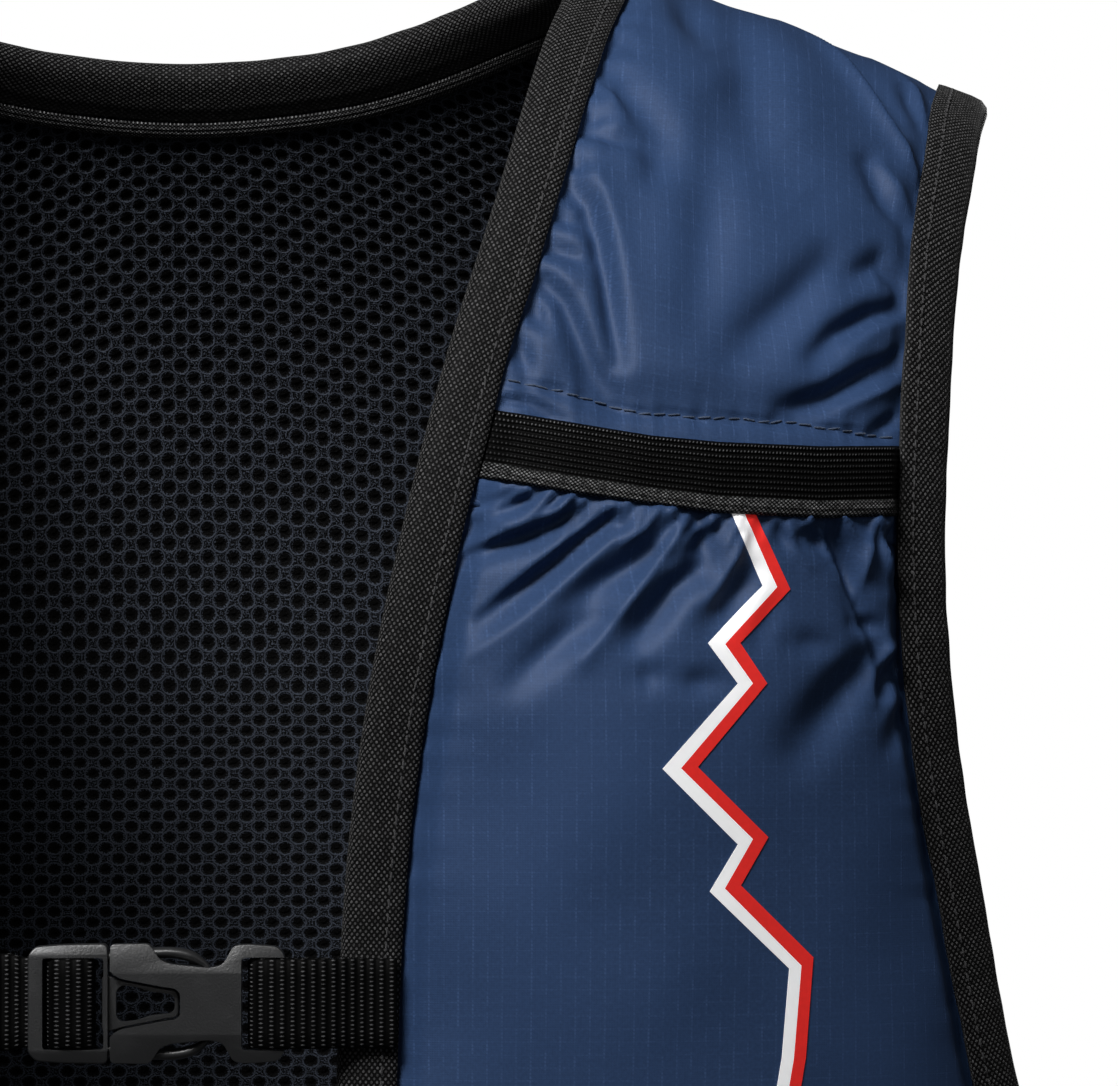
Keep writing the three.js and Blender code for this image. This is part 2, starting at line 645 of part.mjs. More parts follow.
function plugSolid() {
  const frame = plate(rounded(mirrorZ(FRAME_OUTLINE), 1.6), BUCKLE_THICK.frame, 0.7);
  const opening = plate(rectangle(FRAME_OPENING), THROUGH);
  const bar = plate(rectangle(MIDDLE_BAR), MIDDLE_BAR.thick, 0.5);
  const window = plate(mirrorZ(TONGUE_WINDOW), THROUGH);
  const tongue = plate(mirrorZ(TONGUE), BUCKLE_THICK.prong).subtract(window);
  const prongs = [1, -1].map((side) => plate(PRONG.map(([x, z]) => [x, side * z]), BUCKLE_THICK.prong));
  return prongs.reduce((made, p) => made.add(p), frame.subtract(opening).add(bar).add(tongue));
}

// Webbing: a path in the X-Y plane given a wall, and as deep along Z as the strap is wide
function webbing(path) {
  const points = path.map(([x, behind]) => new THREE.Vector3(x, BUCKLE_Y + behind, 0));
  const curve = new THREE.CatmullRomCurve3(points, false, "centripetal");
  const line = curve.getSpacedPoints(STRAP_STEPS);
  const face = (side) =>
    line.map((p, i) => {
      const next = line[Math.min(i + 1, STRAP_STEPS)];
      const along = next.clone().sub(line[Math.max(i - 1, 0)]).normalize();
      const off = (side * STRAP.wall) / 2;
      return new THREE.Vector2(p.x - along.y * off, p.y + along.x * off);
    });
  const shape = new THREE.Shape([...face(1), ...face(-1).reverse()]);
  const geometry = new THREE.ExtrudeGeometry(shape, { depth: STRAP.width, bevelEnabled: false });
  geometry.translate(0, 0, STRAP.z - STRAP.width / 2);
  return solidOf(geometry);
}

// Left strap: from the tape's seam over the tape, round the socket's bar and back under itself.
// Each row is x and the depth behind the buckle's middle plane.
const LEFT_STRAP = [
  [STRAP.seamX, 1], [37, 0.6], [31, -1.6], [25.4, -2.7], [20.7, -2.6], [18.6, -1.6], [17.9, 0],
  [18.6, 1.8], [20.7, 2.8], [24, 3], [28, 3.1], [31.4, 3],
];
// Right strap: behind the frame's end bar, over its middle bar and back out behind
const RIGHT_STRAP = [
  [-STRAP.seamX, 1], [-37, 1.2], [-31, 2.4], [-26, 3.7], [-21.5, 3.95], [-19.3, 3.95], [-17.5, 3.3],
  [-17, 1.6], [-17, -0.4], [-16.6, -1.9], [-15.3, -2.75], [-13.5, -2.85], [-11.6, -2.7], [-10.2, -1.9],
  [-9.9, -0.4], [-9.9, 2], [-10.1, 3.6], [-11.2, 5.1], [-13.4, 5.8], [-17, 5.9], [-22, 5.9], [-27, 5.6],
];

// Tapes, counted by the rows of cloth that they hold
const frontLevels = [...new Set([...liningRows, ...panelRows.slice(4)].map((row) => row.level(100)))];
const neckIndices = [
  ...halfColumns.filter((share) => share < CORNER).map(topIndex),
  ...frontLevels.map(neckIndex).sort((a, b) => a - b),
  neck.count - 1,
];
const neckTape = (index, distance) => {
  const p = neck.at(Math.abs(index), distance);
  p.x *= Math.sign(index) || 1;
  return p;
};
const bothSides = [...neckIndices.slice(1).map((i) => -i).reverse(), ...neckIndices];

const upperBackLevels = [0, 0.18, 0.36, ...SHOULDER_STEPS].map((t) => mix(UPPER_BACK, seamLevel, t));
const backLevels = [...BACK_LEVELS, ...upperBackLevels];
const onFront = (level) => level > SIDE_SEAM_LEVEL && level < ARCH_LENGTH;
const armholeIndices = [
  ...frontLevels.filter(onFront).map(armholeIndex).reverse(),
  ...sideIndices,
  ...backLevels.filter((level) => level < BACK_START - SIDE_SEAM_LEVEL).map(armholeIndex),
];

const hemStart = angleOf(onTorso(NECK_EDGE.at(-1))) + 0.004;
const hemAngles = steps(48).map((t) => mix(hemStart, 2 * Math.PI - hemStart, t));

const right = (pointAt) => (u, row) => {
  const p = pointAt(u, row);
  p.x *= -1;
  return p;
};

const COLUMNS = { lining: steps(8), pocket: steps(21), band: steps(12), panel: steps(10) };
const SIDE_ROWS = steps(5);
const flatInner = () => 0;
const liningOuter = () => MESH_WALL;
const clothInner = () => CLOTH_BASE;
const thick = (inner) => (u, row) => inner(u, row) + CLOTH_WALL;

const solids = {
  back_mesh: sheet(backAt, backColumns, backMeshRows, flatInner, liningOuter),
  back_yoke: sheet(backAt, backColumns, yokeRows, clothInner, thick(clothInner)),
  reservoir_pocket: sheet(backAt, backColumns, reservoirRows, reservoirInner, thick(reservoirInner)),
  reservoir_elastic: sheet(backAt, backColumns, backBandRows, backBandInner, backBandOuter),
  neck_binding: tape(neckTape, bothSides, false),
  hem_binding: tape((angle, distance) => atAngle(angle, HEM_Z + distance), hemAngles, false),
  buckle_socket: socketSolid(),
  buckle_plug: plugSolid(),
  left_strap: webbing(LEFT_STRAP),
  right_strap: webbing(RIGHT_STRAP),
};
const sides = { left: (pointAt) => pointAt, right };
for (const [side, placed] of Object.entries(sides)) {
  const at = placed(frontAt);
  const armholeTape = placed(armhole.at);
  Object.assign(solids, {
    [`${side}_front_mesh`]: sheet(at, COLUMNS.lining, liningRows, flatInner, liningOuter),
    [`${side}_shoulder_panel`]: sheet(at, COLUMNS.panel, panelRows, panelInner, thick(panelInner)),
    [`${side}_flask_pocket`]: sheet(at, COLUMNS.pocket, pocketRows, pocketInner, thick(pocketInner)),
    [`${side}_side_mesh`]: sheet(placed(sideAt), steps(8), SIDE_ROWS, flatInner, liningOuter),
    [`${side}_pocket_elastic`]: sheet(at, COLUMNS.band, bandRows, bandInner, bandOuter),
    [`${side}_armhole_binding`]: tape(armholeTape, armholeIndices, true),
  });
}

const MATERIALS = Object.fromEntries(
  Object.entries(COLOURS).map(([name, color]) => [
    name,
    new THREE.MeshStandardMaterial({ color, roughness: name === "ripstop" ? 0.45 : 0.8, metalness: 0 }),
  ]),
);
const FINISH = {
  mesh: "mesh", panel: "ripstop", pocket: "ripstop", yoke: "ripstop",
  elastic: "elastic", binding: "tape", strap: "webbing", socket: "plastic", plug: "plastic",
};

const vest = new THREE.Group();
function place(name, solid) {
  const mesh = new THREE.Mesh(geometryOf(solid), MATERIALS[FINISH[name.split("_").at(-1)]]);
  mesh.name = name;
  vest.add(mesh);
}

for (const [name, solid] of Object.entries(solids)) place(name, solid);

export default vest;
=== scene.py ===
"""A running hydration vest: ripstop fronts and back over spacer mesh, taped edges, flask pockets under
elastic bands, a reservoir pocket, and a sternum strap with a side-release buckle."""
import math

import bmesh
import bpy
import numpy as np
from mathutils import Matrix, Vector
from mathutils.bvhtree import BVHTree


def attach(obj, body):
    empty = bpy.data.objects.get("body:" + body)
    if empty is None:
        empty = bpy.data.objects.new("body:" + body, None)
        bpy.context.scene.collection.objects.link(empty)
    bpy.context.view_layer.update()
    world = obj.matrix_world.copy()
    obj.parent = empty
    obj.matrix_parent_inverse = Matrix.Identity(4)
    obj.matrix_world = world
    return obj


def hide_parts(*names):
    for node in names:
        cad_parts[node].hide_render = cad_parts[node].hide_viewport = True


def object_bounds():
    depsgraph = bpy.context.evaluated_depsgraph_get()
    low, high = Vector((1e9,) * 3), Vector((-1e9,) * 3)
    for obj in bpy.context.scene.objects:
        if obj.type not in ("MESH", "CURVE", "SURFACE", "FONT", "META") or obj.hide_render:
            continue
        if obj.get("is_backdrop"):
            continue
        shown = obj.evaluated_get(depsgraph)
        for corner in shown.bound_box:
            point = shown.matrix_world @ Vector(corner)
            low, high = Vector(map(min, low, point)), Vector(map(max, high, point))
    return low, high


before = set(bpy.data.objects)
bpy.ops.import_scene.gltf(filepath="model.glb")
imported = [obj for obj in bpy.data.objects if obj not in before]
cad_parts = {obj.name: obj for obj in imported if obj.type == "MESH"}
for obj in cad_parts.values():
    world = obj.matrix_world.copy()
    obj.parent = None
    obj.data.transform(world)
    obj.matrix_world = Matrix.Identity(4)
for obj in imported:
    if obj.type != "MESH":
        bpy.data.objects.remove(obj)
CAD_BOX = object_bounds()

bl_info = {
    "name": "Running Hydration Vest",
    "version": (1, 0, 0),
    "blender": (4, 5, 0),
    "location": "View3D > Sidebar > Vest",
    "description": "Makes the cloth, tape, mesh, elastic, webbing and buckle of a running vest",
    "category": "Add Mesh",
}

# The torso that the vest fits, in millimetres: level sections are superellipses, and above the
# arch's start the front and back lean together over the shoulders
HALF_WIDTH, FRONT_DEPTH, BACK_DEPTH, POWER = 175.0, 105.0, 100.0, 2.6
ARCH_Z, ARCH_LENGTH, BACK_START, HEM_Z = -120.0, 180.0, 360.0, -345.0
WAIST_Z, WAIST_TAPER = -180.0, 0.05
CREST_X, CREST_Z, CREST_SLOPE, CREST_SOFTNESS = 75.0, 14.0, 0.4, 30.0

# Distances from the free edge: where a tape's face ends, and where the cloth under it ends
CUT, TUCK = 10.9, 6.4
# Levels of the shoulder seam, of the fronts' top, of the cloth's hem, of the side seams' top and of the
# upper back, and the share of the back's top row that lies along the neckline
SEAM_LEVEL, PANEL_TOP, CLOTH_HEM, SIDE_SEAM_LEVEL = 192.0, 191.8, -218.6, -100.0
UPPER_BACK, CORNER = 372.0, 0.56
RIPSTOP_WALL, BAND_WALL, MESH_WALL = 0.5, 1.3, 2.6
# The row of stitches on a tape: its distance from the free edge and its height over the torso
STITCH_LINE, TAPE_FACE = 7.7, 5.2
# The spacer mesh: steps between its holes, and half a hole's width and height
HOLE_ACROSS, HOLE_UP, HOLE_HALF = 4.97, 2.06, (1.36, 1.12)
STRAP_Z, STRAP_WIDTH, STRAP_WALL, BUCKLE_Y = -170.0, 15.6, 1.4, -111.4

# Free edges: x, z and face, where face is 1 behind, -1 in front and 0 on the crest or the side
NECK_EDGE = [
    (0, -1, 1), (26, 1, 1), (41, 4.5, 1), (56, 9.5, 1), (68, 13, 1), (73.5, 14.6, 0), (71.5, 7, -1),
    (67.4, -3.4, -1), (59, -32.4, -1), (50.8, -59.4, -1), (43.1, -90.4, -1), (37.7, -117.5, -1),
    (34, -147.8, -1), (32.4, -182.4, -1), (31.5, -240, -1), (31.5, -300, -1), (32.4, -318, -1),
    (36.5, -332, -1), (44, -341, -1), (54, -344.7, -1), (66, -345, -1),
]
ARMHOLE_EDGE = [
    (148.8, -14.5, 0), (146.6, -19, -1), (144.3, -28.2, -1), (141.2, -43, -1), (139, -64, -1),
    (137.6, -90.5, -1), (138.3, -111, -1), (140.7, -132, -1), (144.2, -153.3, -1), (150.2, -186, -1),
    (157.5, -212, -1), (166, -236, -1), (173.4, -251, 0), (166, -240, 1), (155, -215, 1),
    (147, -185, 1), (140.5, -148, 1), (137.5, -110, 1), (138.5, -72, 1), (143, -37, 1), (147, -20, 1),
]
# The elastic band of a flask pocket and the seam above it: x, top, bottom and seam heights
BAND_LINE = np.array([
    (55, -66.2, -78.5, -60), (70, -69, -81.3, -63.5), (84, -71.5, -83.5, -67.4),
    (95, -72.6, -85, -68.2), (112, -73.3, -85.9, -69.2), (130, -73.1, -85.4, -71.9),
])

# Folds of the cloth: the places (x, z) that a fold runs through, its width at both ends and its
# height, below zero for a valley
POCKET_FOLDS = [
    ([(65.3, -80.9), (62.1, -83), (58.1, -84.7), (54.7, -85.9)], 0.9, 1.4, 1.3),
    ([(64.1, -82.5), (60.1, -83.5), (56.1, -84.2)], 1.2, 1.6, -1.5),
    ([(66.8, -82.2), (63.4, -84.7), (60.1, -85.3)], 1, 1.3, -1.3),
    ([(69.3, -81.9), (66.4, -84.4), (62.1, -86.3), (57.8, -87.2)], 0.8, 1.2, 0.9),
    ([(59.1, -87), (56.5, -87.5), (54.8, -88.1)], 1.4, 1.8, -1.7),
    ([(72.5, -82.5), (70.1, -85), (63.5, -87.5), (57.8, -89.9), (52.5, -92.8)], 1, 1.6, 1.7),
    ([(72.4, -86), (66.8, -88.7), (60.1, -90.8), (53.5, -93.8)], 1.9, 1.9, -2.6),
    ([(74.8, -82.9), (72.8, -86.5), (71.1, -88.5)], 0.8, 1, 1),
    ([(73.9, -84.7), (74.4, -84.2)], 0.9, 0.9, -0.8),
    ([(79.9, -83.5), (76.8, -86), (72.8, -89), (66.8, -93.8), (61.8, -97.8), (56.8, -102)], 1, 2, 1.8),
    ([(78.7, -86.4), (73.4, -90.8), (68.8, -94.8), (63.5, -99.1), (58.2, -103)], 2, 2.8, -2.9),
    ([(82.7, -83.8), (80.7, -86.5), (79.6, -88.5)], 0.8, 1, 0.9),
    ([(81.4, -86.7), (80.4, -88.2)], 1, 1, -1),
    ([(84.8, -84.2), (83.1, -87.5), (79.4, -89.9), (73.4, -95.2), (68.4, -99.8), (63.5, -104),
      (56.8, -108.9), (52.9, -110.7)], 1.2, 2.6, 1.2),
    ([(87.3, -84.2), (84.7, -87.9), (81.1, -90.5)], 0.9, 1.2, 1.2),
    ([(86.4, -92.2), (82.7, -94.5), (78.1, -97.2), (73.4, -100.8)], 2, 2.6, -2.2),
    ([(77.1, -103.5), (72.1, -106.1), (66.8, -110.8), (63.5, -114.1)], 2.4, 2.6, -1.7),
    ([(93.9, -85), (91.1, -87.5), (89.4, -90.2), (86.4, -94.5), (82.7, -99.5), (78.7, -105.1),
      (74.4, -110.4)], 1.1, 2, 1.6),
    ([(89.3, -84.5), (90.1, -86.8)], 0.8, 0.9, 0.9),
    ([(93.4, -95.5), (90.1, -98.2), (87.4, -101.8), (83.4, -106.8)], 2, 2.4, -2.6),
    ([(86.7, -113.3), (83.4, -113.5)], 2.2, 2.2, -0.9),
    ([(96.4, -114.3), (91.4, -114.5)], 2, 2, -0.9),
    ([(94.1, -85), (94.4, -88.8), (95.6, -92.2), (96.9, -95.3)], 1.6, 2.6, -2),
    ([(96.3, -85.5), (96.4, -87.8)], 0.8, 0.9, 1),
    ([(100.2, -86.6), (101.9, -88.6), (100.6, -92.2), (98.4, -96.2), (95.6, -100.3)], 1, 1.8, 1.5),
    ([(103, -95.6), (100, -100.3), (96.6, -104)], 2.2, 2.6, -2.1),
    ([(107.6, -85.6), (109.7, -88), (111.3, -91.6), (113.5, -94.2)], 0.9, 1.1, 1.1),
    ([(108.5, -88.2), (109.7, -91.3)], 1.2, 1.2, -1.1),
    ([(111, -85.7), (112.3, -87.2), (111, -88.1)], 0.8, 0.9, 0.9),
    ([(113.5, -85.5), (116, -88.9), (118.6, -93.3), (120.6, -98.5), (123.1, -104.2), (125.6, -109.1),
      (126.5, -113.8), (126.2, -118.2)], 1, 1.4, 1.6),
    ([(113.8, -88.5), (116.3, -91.3)], 1.2, 1.3, -1.6),
    ([(117.3, -90), (120, -94.4), (122.3, -100), (124.8, -105.7), (127.2, -110),
      (128, -114.1)], 1.8, 2.2, -1.5),
    ([(117, -86.9), (119.8, -91.3), (121.4, -95.6), (122.3, -101)], 1.6, 1.6, -2.1),
    ([(119.4, -85.6), (120.6, -86), (122.1, -88.5), (123.8, -90.5)], 0.8, 1, 0.9),
    ([(126.2, -85.9), (124.9, -91.6), (122.8, -99.7)], 1, 1.2, 1.4),
    ([(126.8, -86.3), (128.2, -90.6), (130.1, -94.9), (131.7, -98.8)], 0.9, 1.2, 1.5),
    ([(122.3, -104.1), (124.8, -104.7), (127.4, -104.7)], 1.4, 1.4, -1.2),
    ([(130.8, -85.6), (129.7, -86.9), (128.4, -87.2)], 0.9, 0.9, 1),
    ([(129.4, -88.8), (131.3, -91.3)], 1.2, 1.2, -1.2),
    ([(125.5, -111), (120.4, -115.3), (116, -120.3), (112.2, -125.5)], 2.8, 4.2, -2.5),
    ([(132.5, -110.7), (129.6, -114.1), (126.6, -118.2)], 1.5, 1.8, -1.9),
    ([(132, -107.9), (129.6, -109.1), (127, -112.2)], 1.2, 1.5, 1.1),
    ([(107.2, -100.9), (104.7, -104.7), (103.7, -107.5)], 1.6, 2, -1),
    ([(116, -108.1), (110.9, -107.5)], 2, 2, -0.8),
    ([(133.1, -119.5), (130.9, -122.6), (129.3, -125.7)], 1.6, 2, -1.2),
]
SHOULDER_FOLDS = [
    ([(71.9, -26), (76.1, -30.3), (78, -36.6), (79.3, -44.1), (80.2, -51.6), (81.3, -58.5)], 1.6, 1.6, -2.3),
    ([(75.6, -21.9), (78.8, -29), (80.5, -36.6), (82, -46.6)], 2.4, 3, 0.9),
    ([(69.1, -44.7), (72.3, -48.1), (74.6, -54.1), (77, -60.5), (80.4, -65.9)], 1.8, 2.6, -2.3),
    ([(69.1, -42.2), (72.6, -45.1), (75.5, -51.6), (77.8, -57.5)], 1.4, 2, 0.9),
    ([(80.7, -5.6), (84.6, -11.9), (88.6, -17.6), (90.5, -23.7)], 2.6, 3.6, -1.7),
    ([(75.6, -16.2), (80.6, -18.7), (85.6, -19.7)], 1.2, 1.6, -1.3),
    ([(77.9, -7.8), (80.1, -9.9), (82.6, -14.6)], 1, 1.4, 0.8),
    ([(75.9, -13.9), (79.6, -15.1)], 1, 1.3, -1),
    ([(73.4, -22.7), (76.1, -23.9)], 1, 1.3, -1.1),
    ([(70.9, -31.9), (75.1, -34.1)], 1, 1.4, -1.3),
    ([(68.9, -37.7), (72.6, -39.4), (75.6, -40.9)], 1.2, 1.5, -1.5),
    ([(66, -47.7), (68.7, -52.1)], 1.3, 1.4, -1.6),
    ([(63.8, -56.1), (66.2, -60.1)], 1.2, 1.4, -1.3),
    ([(79.2, -1.9), (82.2, -0.2), (84.7, -2.3)], 1, 1.2, -0.9),
    ([(93.8, 10), (96.1, 4), (99, -1.7)], 2.6, 4, -2),
    ([(102.6, 8), (104.7, -2), (105.8, -14.1)], 3, 5, -1.9),
    ([(98.7, -14.2), (97.5, -28.8), (95.9, -41.5), (94.8, -51.5)], 4, 4, -1.2),
    ([(87.5, -25.8), (88.6, -19.7)], 2.4, 2.8, -0.9),
    ([(61.8, -65), (66.2, -66), (71.1, -68.9)], 1, 1.3, -1.4),
    ([(60.8, -63.3), (63.8, -64)], 0.9, 1.2, 0.9),
    ([(111, 5.2), (116.5, 1.1), (121.5, -4.7), (125.8, -10.5), (128.7, -15), (132.7, -20.3),
      (135.6, -24.9)], 1.3, 1.3, 1.9),
    ([(117.5, 3.2), (123.3, -2.1), (128.6, -9.2), (132.9, -15.4)], 2.4, 2.4, -1.3),
    ([(128.1, -1.5), (132.8, -4.7), (136, -8.2), (137.7, -12.8)], 1.1, 1.1, 1.4),
    ([(133.9, -7.9), (136.3, -13.5)], 1.4, 1.4, -1.1),
    ([(125.7, -23.2), (128.6, -29), (132.7, -33.7)], 1.8, 1.6, -1.2),
    ([(128.3, -23.7), (134.3, -31)], 1.2, 1.2, 0.8),
    ([(132.9, -45.2), (127.8, -40.6), (122.6, -43.3)], 1.6, 2.2, -1.7),
    ([(133.4, -48.3), (126.1, -50.2), (119.8, -53.6), (115.7, -57.5)], 1.6, 2.2, -2.2),
    ([(132.5, -50.4), (127.1, -52), (121.4, -55.6)], 1, 1.6, 1),
    ([(131.9, -58.3), (125.4, -60.7), (118.2, -64.6), (111.5, -66.9)], 1.8, 2.2, -2.6),
    ([(131.3, -61.7), (124.8, -64.3), (119.2, -66.9)], 1.1, 1.4, 1.1),
    ([(117.7, -41.5), (112.2, -47.5), (106, -53.2), (101.9, -57.3)], 3.2, 4, -1.9),
    ([(104.6, -11.3), (106.5, -22.1), (113.6, -29.3)], 4, 6, -1.4),
    ([(131, -68.3), (126.8, -70.4)], 1, 1.2, -1.2),
]
# The two-colour zigzag stripe: its left edge, the line between the colours, and its right edge
ZIGZAG = [
    ((100.5, -83.6), (102.6, -83.6), (104.5, -83.6)),
    ((106.5, -97.7), (109.0, -97.9), (111.3, -98.3)),
    ((96.9, -107.6), (99.9, -107.8), (102.5, -107.6)),
    ((102.1, -114.6), (104.7, -114.6), (107.2, -114.6)),
    ((89.0, -129.3), (92.2, -129.2), (95.1, -129.0)),
    ((102.1, -142.5), (104.7, -141.6), (107.4, -141.3)),
    ((97.2, -150.6), (99.8, -150.1), (102.6, -149.6)),
    ((111.1, -164.2), (113.2, -163.7), (115.3, -162.3)),
    ((109.8, -179.7), (111.9, -179.7), (114.0, -179.7)),
    ((106.4, -200.0), (108.5, -200.0), (110.6, -200.0)),
    ((118.6, -226.0), (120.8, -226.0), (123.0, -226.0)),
    ((108.0, -252.0), (110.3, -252.0), (112.6, -252.0)),
    ((113.0, -284.0), (115.2, -284.0), (117.4, -284.0)),
    ((106.0, -335.5), (108.2, -335.5), (110.4, -335.5)),
]
# Webbing paths: x and the depth behind the buckle's middle plane
LEFT_STRAP = [
    (43, 1), (37, 0.6), (31, -1.6), (25.4, -2.7), (20.7, -2.6), (18.6, -1.6), (17.9, 0), (18.6, 1.8),
    (20.7, 2.8), (24, 3), (28, 3.1), (31.4, 3),
]
RIGHT_STRAP = [
    (-43, 1), (-37, 1.2), (-31, 2.4), (-26, 3.7), (-21.5, 3.95), (-19.3, 3.95), (-17.5, 3.3),
    (-17, 1.6), (-17, -0.4), (-16.6, -1.9), (-15.3, -2.75), (-13.5, -2.85), (-11.6, -2.7),
    (-10.2, -1.9), (-9.9, -0.4), (-9.9, 2), (-10.1, 3.6), (-11.2, 5.1), (-13.4, 5.8), (-17, 5.9),
    (-22, 5.9), (-27, 5.6),
]


# Torso

def mix(a, b, t):
    return a + (b - a) * t


def smooth(t):
    t = np.clip(t, 0.0, 1.0)
    return t * t * (3 - 2 * t)


def unit(v):
    return v / np.maximum(np.linalg.norm(v, axis=-1, keepdims=True), 1e-12)


def crest_z(x):
    bend = np.hypot(x, CREST_SOFTNESS)
    return CREST_Z - CREST_SLOPE * (bend - math.hypot(CREST_X, CREST_SOFTNESS))


def taper(z):
    return 1 - WAIST_TAPER * smooth((WAIST_Z - z) / (WAIST_Z - HEM_Z))


def face_depth(y):
    return np.where(np.asarray(y) > 0, BACK_DEPTH, FRONT_DEPTH)


def section_depth(x, z, face):
    share = np.minimum(1, np.abs(x) / (HALF_WIDTH * taper(z)))
    return face_depth(face) * taper(z) * (1 - share ** POWER) ** (1 / POWER)


def on_torso(x, z, face):
    x, z, face = np.broadcast_arrays(*(np.asarray(v, float) for v in (x, z, face)))
    rise = np.clip((z - ARCH_Z) / (crest_z(x) - ARCH_Z), 0, 1)
    y = face * section_depth(x, z, face) * np.sqrt(1 - rise ** 2)
    return np.stack([x, y, z], axis=-1)


def torso_value(p):
    x, y, z = p[..., 0], p[..., 1], p[..., 2]
    t = taper(z)
    low = (np.abs(x) / (HALF_WIDTH * t)) ** POWER + (np.abs(y) / (face_depth(y) * t)) ** POWER - 1
    depth = np.maximum(section_depth(x, ARCH_Z, y), 1e-6)
    high = (y / depth) ** 2 + ((z - ARCH_Z) / (crest_z(x) - ARCH_Z)) ** 2 - 1
    return np.where(z < ARCH_Z, low, high)


def torso_gradient(p, step=0.05):
    slopes = []
    for axis in np.eye(3) * step:
        slopes.append((torso_value(p + axis) - torso_value(p - axis)) / (2 * step))
    return np.stack(slopes, axis=-1)


def outward(p):
    return unit(torso_gradient(p))


def settle(p):
    for _ in range(4):
        g = torso_gradient(p)
        p = p - g * (torso_value(p) / np.maximum((g * g).sum(-1), 1e-12))[..., None]
    return p


def at_level(x, level):
    """A level counts millimetres up the front, over the shoulder and down the back."""
    x, level = np.broadcast_arrays(np.asarray(x, float), np.asarray(level, float))
    front = on_torso(x, ARCH_Z + level, -1)
    back = on_torso(x, ARCH_Z - (level - BACK_START), 1)
    turn = level / ARCH_LENGTH * math.pi / 2
    face = np.where(turn > math.pi / 2, 1.0, -1.0)
    y = -section_depth(x, ARCH_Z, face) * np.cos(turn)
    arch = np.stack([x, y, ARCH_Z + (crest_z(x) - ARCH_Z) * np.sin(turn)], axis=-1)
    p = np.where((level < 0)[..., None], front, arch)
    return np.where((level > BACK_START)[..., None], back, p)


def level_of(p):
    x, y, z = p[..., 0], p[..., 1], p[..., 2]
    rise = (z - ARCH_Z) / (crest_z(x) - ARCH_Z)
    lean = -y / np.maximum(section_depth(x, ARCH_Z, y), 1e-6)
    arch = np.arctan2(rise, lean) / (math.pi / 2) * ARCH_LENGTH
    straight = np.where(y <= 0, z - ARCH_Z, BACK_START + ARCH_Z - z)
    return np.where(z < ARCH_Z, straight, arch)


def at_angle(angle, z):
    """A level section's point at an angle from the middle of the front."""
    angle, z = np.broadcast_arrays(np.asarray(angle, float), np.asarray(z, float))
    depth = np.where(np.cos(angle) < 0, BACK_DEPTH, FRONT_DEPTH) * taper(z)
    across = np.abs(np.sin(angle)) / (HALF_WIDTH * taper(z))
    reach = (across ** POWER + (np.abs(np.cos(angle)) / depth) ** POWER) ** (-1 / POWER)
    return np.stack([reach * np.sin(angle), -reach * np.cos(angle), z], axis=-1)


def angle_of(p):
    return np.arctan2(p[..., 0], -p[..., 1])


def level_at(x, z, face=-1):
    return level_of(on_torso(x, z, face))


def run_along(line):
    """Distance along a line of points from its first one."""
    return np.concatenate([[0], np.cumsum(np.linalg.norm(np.diff(line, axis=0), axis=1))])


def spaced_points(knots, count, before=None):
    """Equally spaced points of a centripetal Catmull-Rom curve through the knots."""
    ends = [2 * knots[0] - knots[1] if before is None else before, 2 * knots[-1] - knots[-2]]
    k = np.vstack([ends[:1], knots, ends[1:]])
    fine = []
    for i in range(1, len(k) - 2):
        p0, p1, p2, p3 = k[i - 1:i + 3]
        d0, d1, d2 = (np.linalg.norm(b - a) ** 0.5 for a, b in ((p0, p1), (p1, p2), (p2, p3)))
        m1 = ((p1 - p0) / d0 - (p2 - p0) / (d0 + d1) + (p2 - p1) / d1) * d1
        m2 = ((p2 - p1) / d1 - (p3 - p1) / (d1 + d2) + (p3 - p2) / d2) * d1
        t = np.linspace(0, 1, 60, endpoint=False)[:, None]
        cubic = (2 * p1 - 2 * p2 + m1 + m2) * t ** 3 + (-3 * p1 + 3 * p2 - 2 * m1 - m2) * t ** 2
        fine.append(cubic + m1 * t + p1)
    fine = np.vstack(fine + [knots[-1:]])
    run = run_along(fine)
    want = np.linspace(0, run[-1], count + 1)
    return np.stack([np.interp(want, run, fine[:, a]) for a in range(fine.shape[1])], axis=1)


class Edge:
    """A free edge on the torso, and the lines beside it on the cloth's side."""

    def __init__(self, rows, count, to_cloth, closed=False):
        rows = np.array(rows, float)
        knots = on_torso(rows[:, 0], rows[:, 1], rows[:, 2])
        line = settle(spaced_points(knots, count, None if closed else knots[1] * (-1, 1, 1)))
        if closed:
            line = line[:-1]
        ahead, behind = np.roll(line, -1, axis=0), np.roll(line, 1, axis=0)
        if not closed:
            ahead[-1], behind[0] = line[-1], line[0]
        along = unit(ahead - behind)
        self.line, self.closed, self.count = line, closed, len(line)
        self.side = unit(np.cross(outward(line), along)) * to_cloth
        self.length = np.linalg.norm(np.diff(line, axis=0), axis=1).mean()

    def at(self, index, distance):
        index = np.asarray(index, float)
        i = np.floor(index).astype(int)
        if self.closed:
            t = index - i
            a, b = i % self.count, (i + 1) % self.count
        else:
            a = np.clip(i, 0, self.count - 1)
            t = np.clip(index - a, 0, 1)
            b = np.minimum(a + 1, self.count - 1)
        t = t[..., None]
        p = mix(self.line[a], self.line[b], t)
        side = unit(mix(self.side[a], self.side[b], t))
        return settle(p + side * np.asarray(distance, float)[..., None])

    def apart(self, p):
        """How far points lie from the free edge, on the cloth's side above zero."""
        best = np.full(len(p), 1e9)
        for start in range(0, self.count, 60):
            part = slice(start, start + 60)
            gap = p[:, None, :] - self.line[None, part]
            far = np.linalg.norm(gap, axis=2)
            sign = np.sign((gap * self.side[None, part]).sum(2))
            near = far.argmin(axis=1)
            rows = np.arange(len(p))
            value = far[rows, near]
            closer = value < np.abs(best)
            best[closer] = (value * sign[rows, near])[closer]
        return best


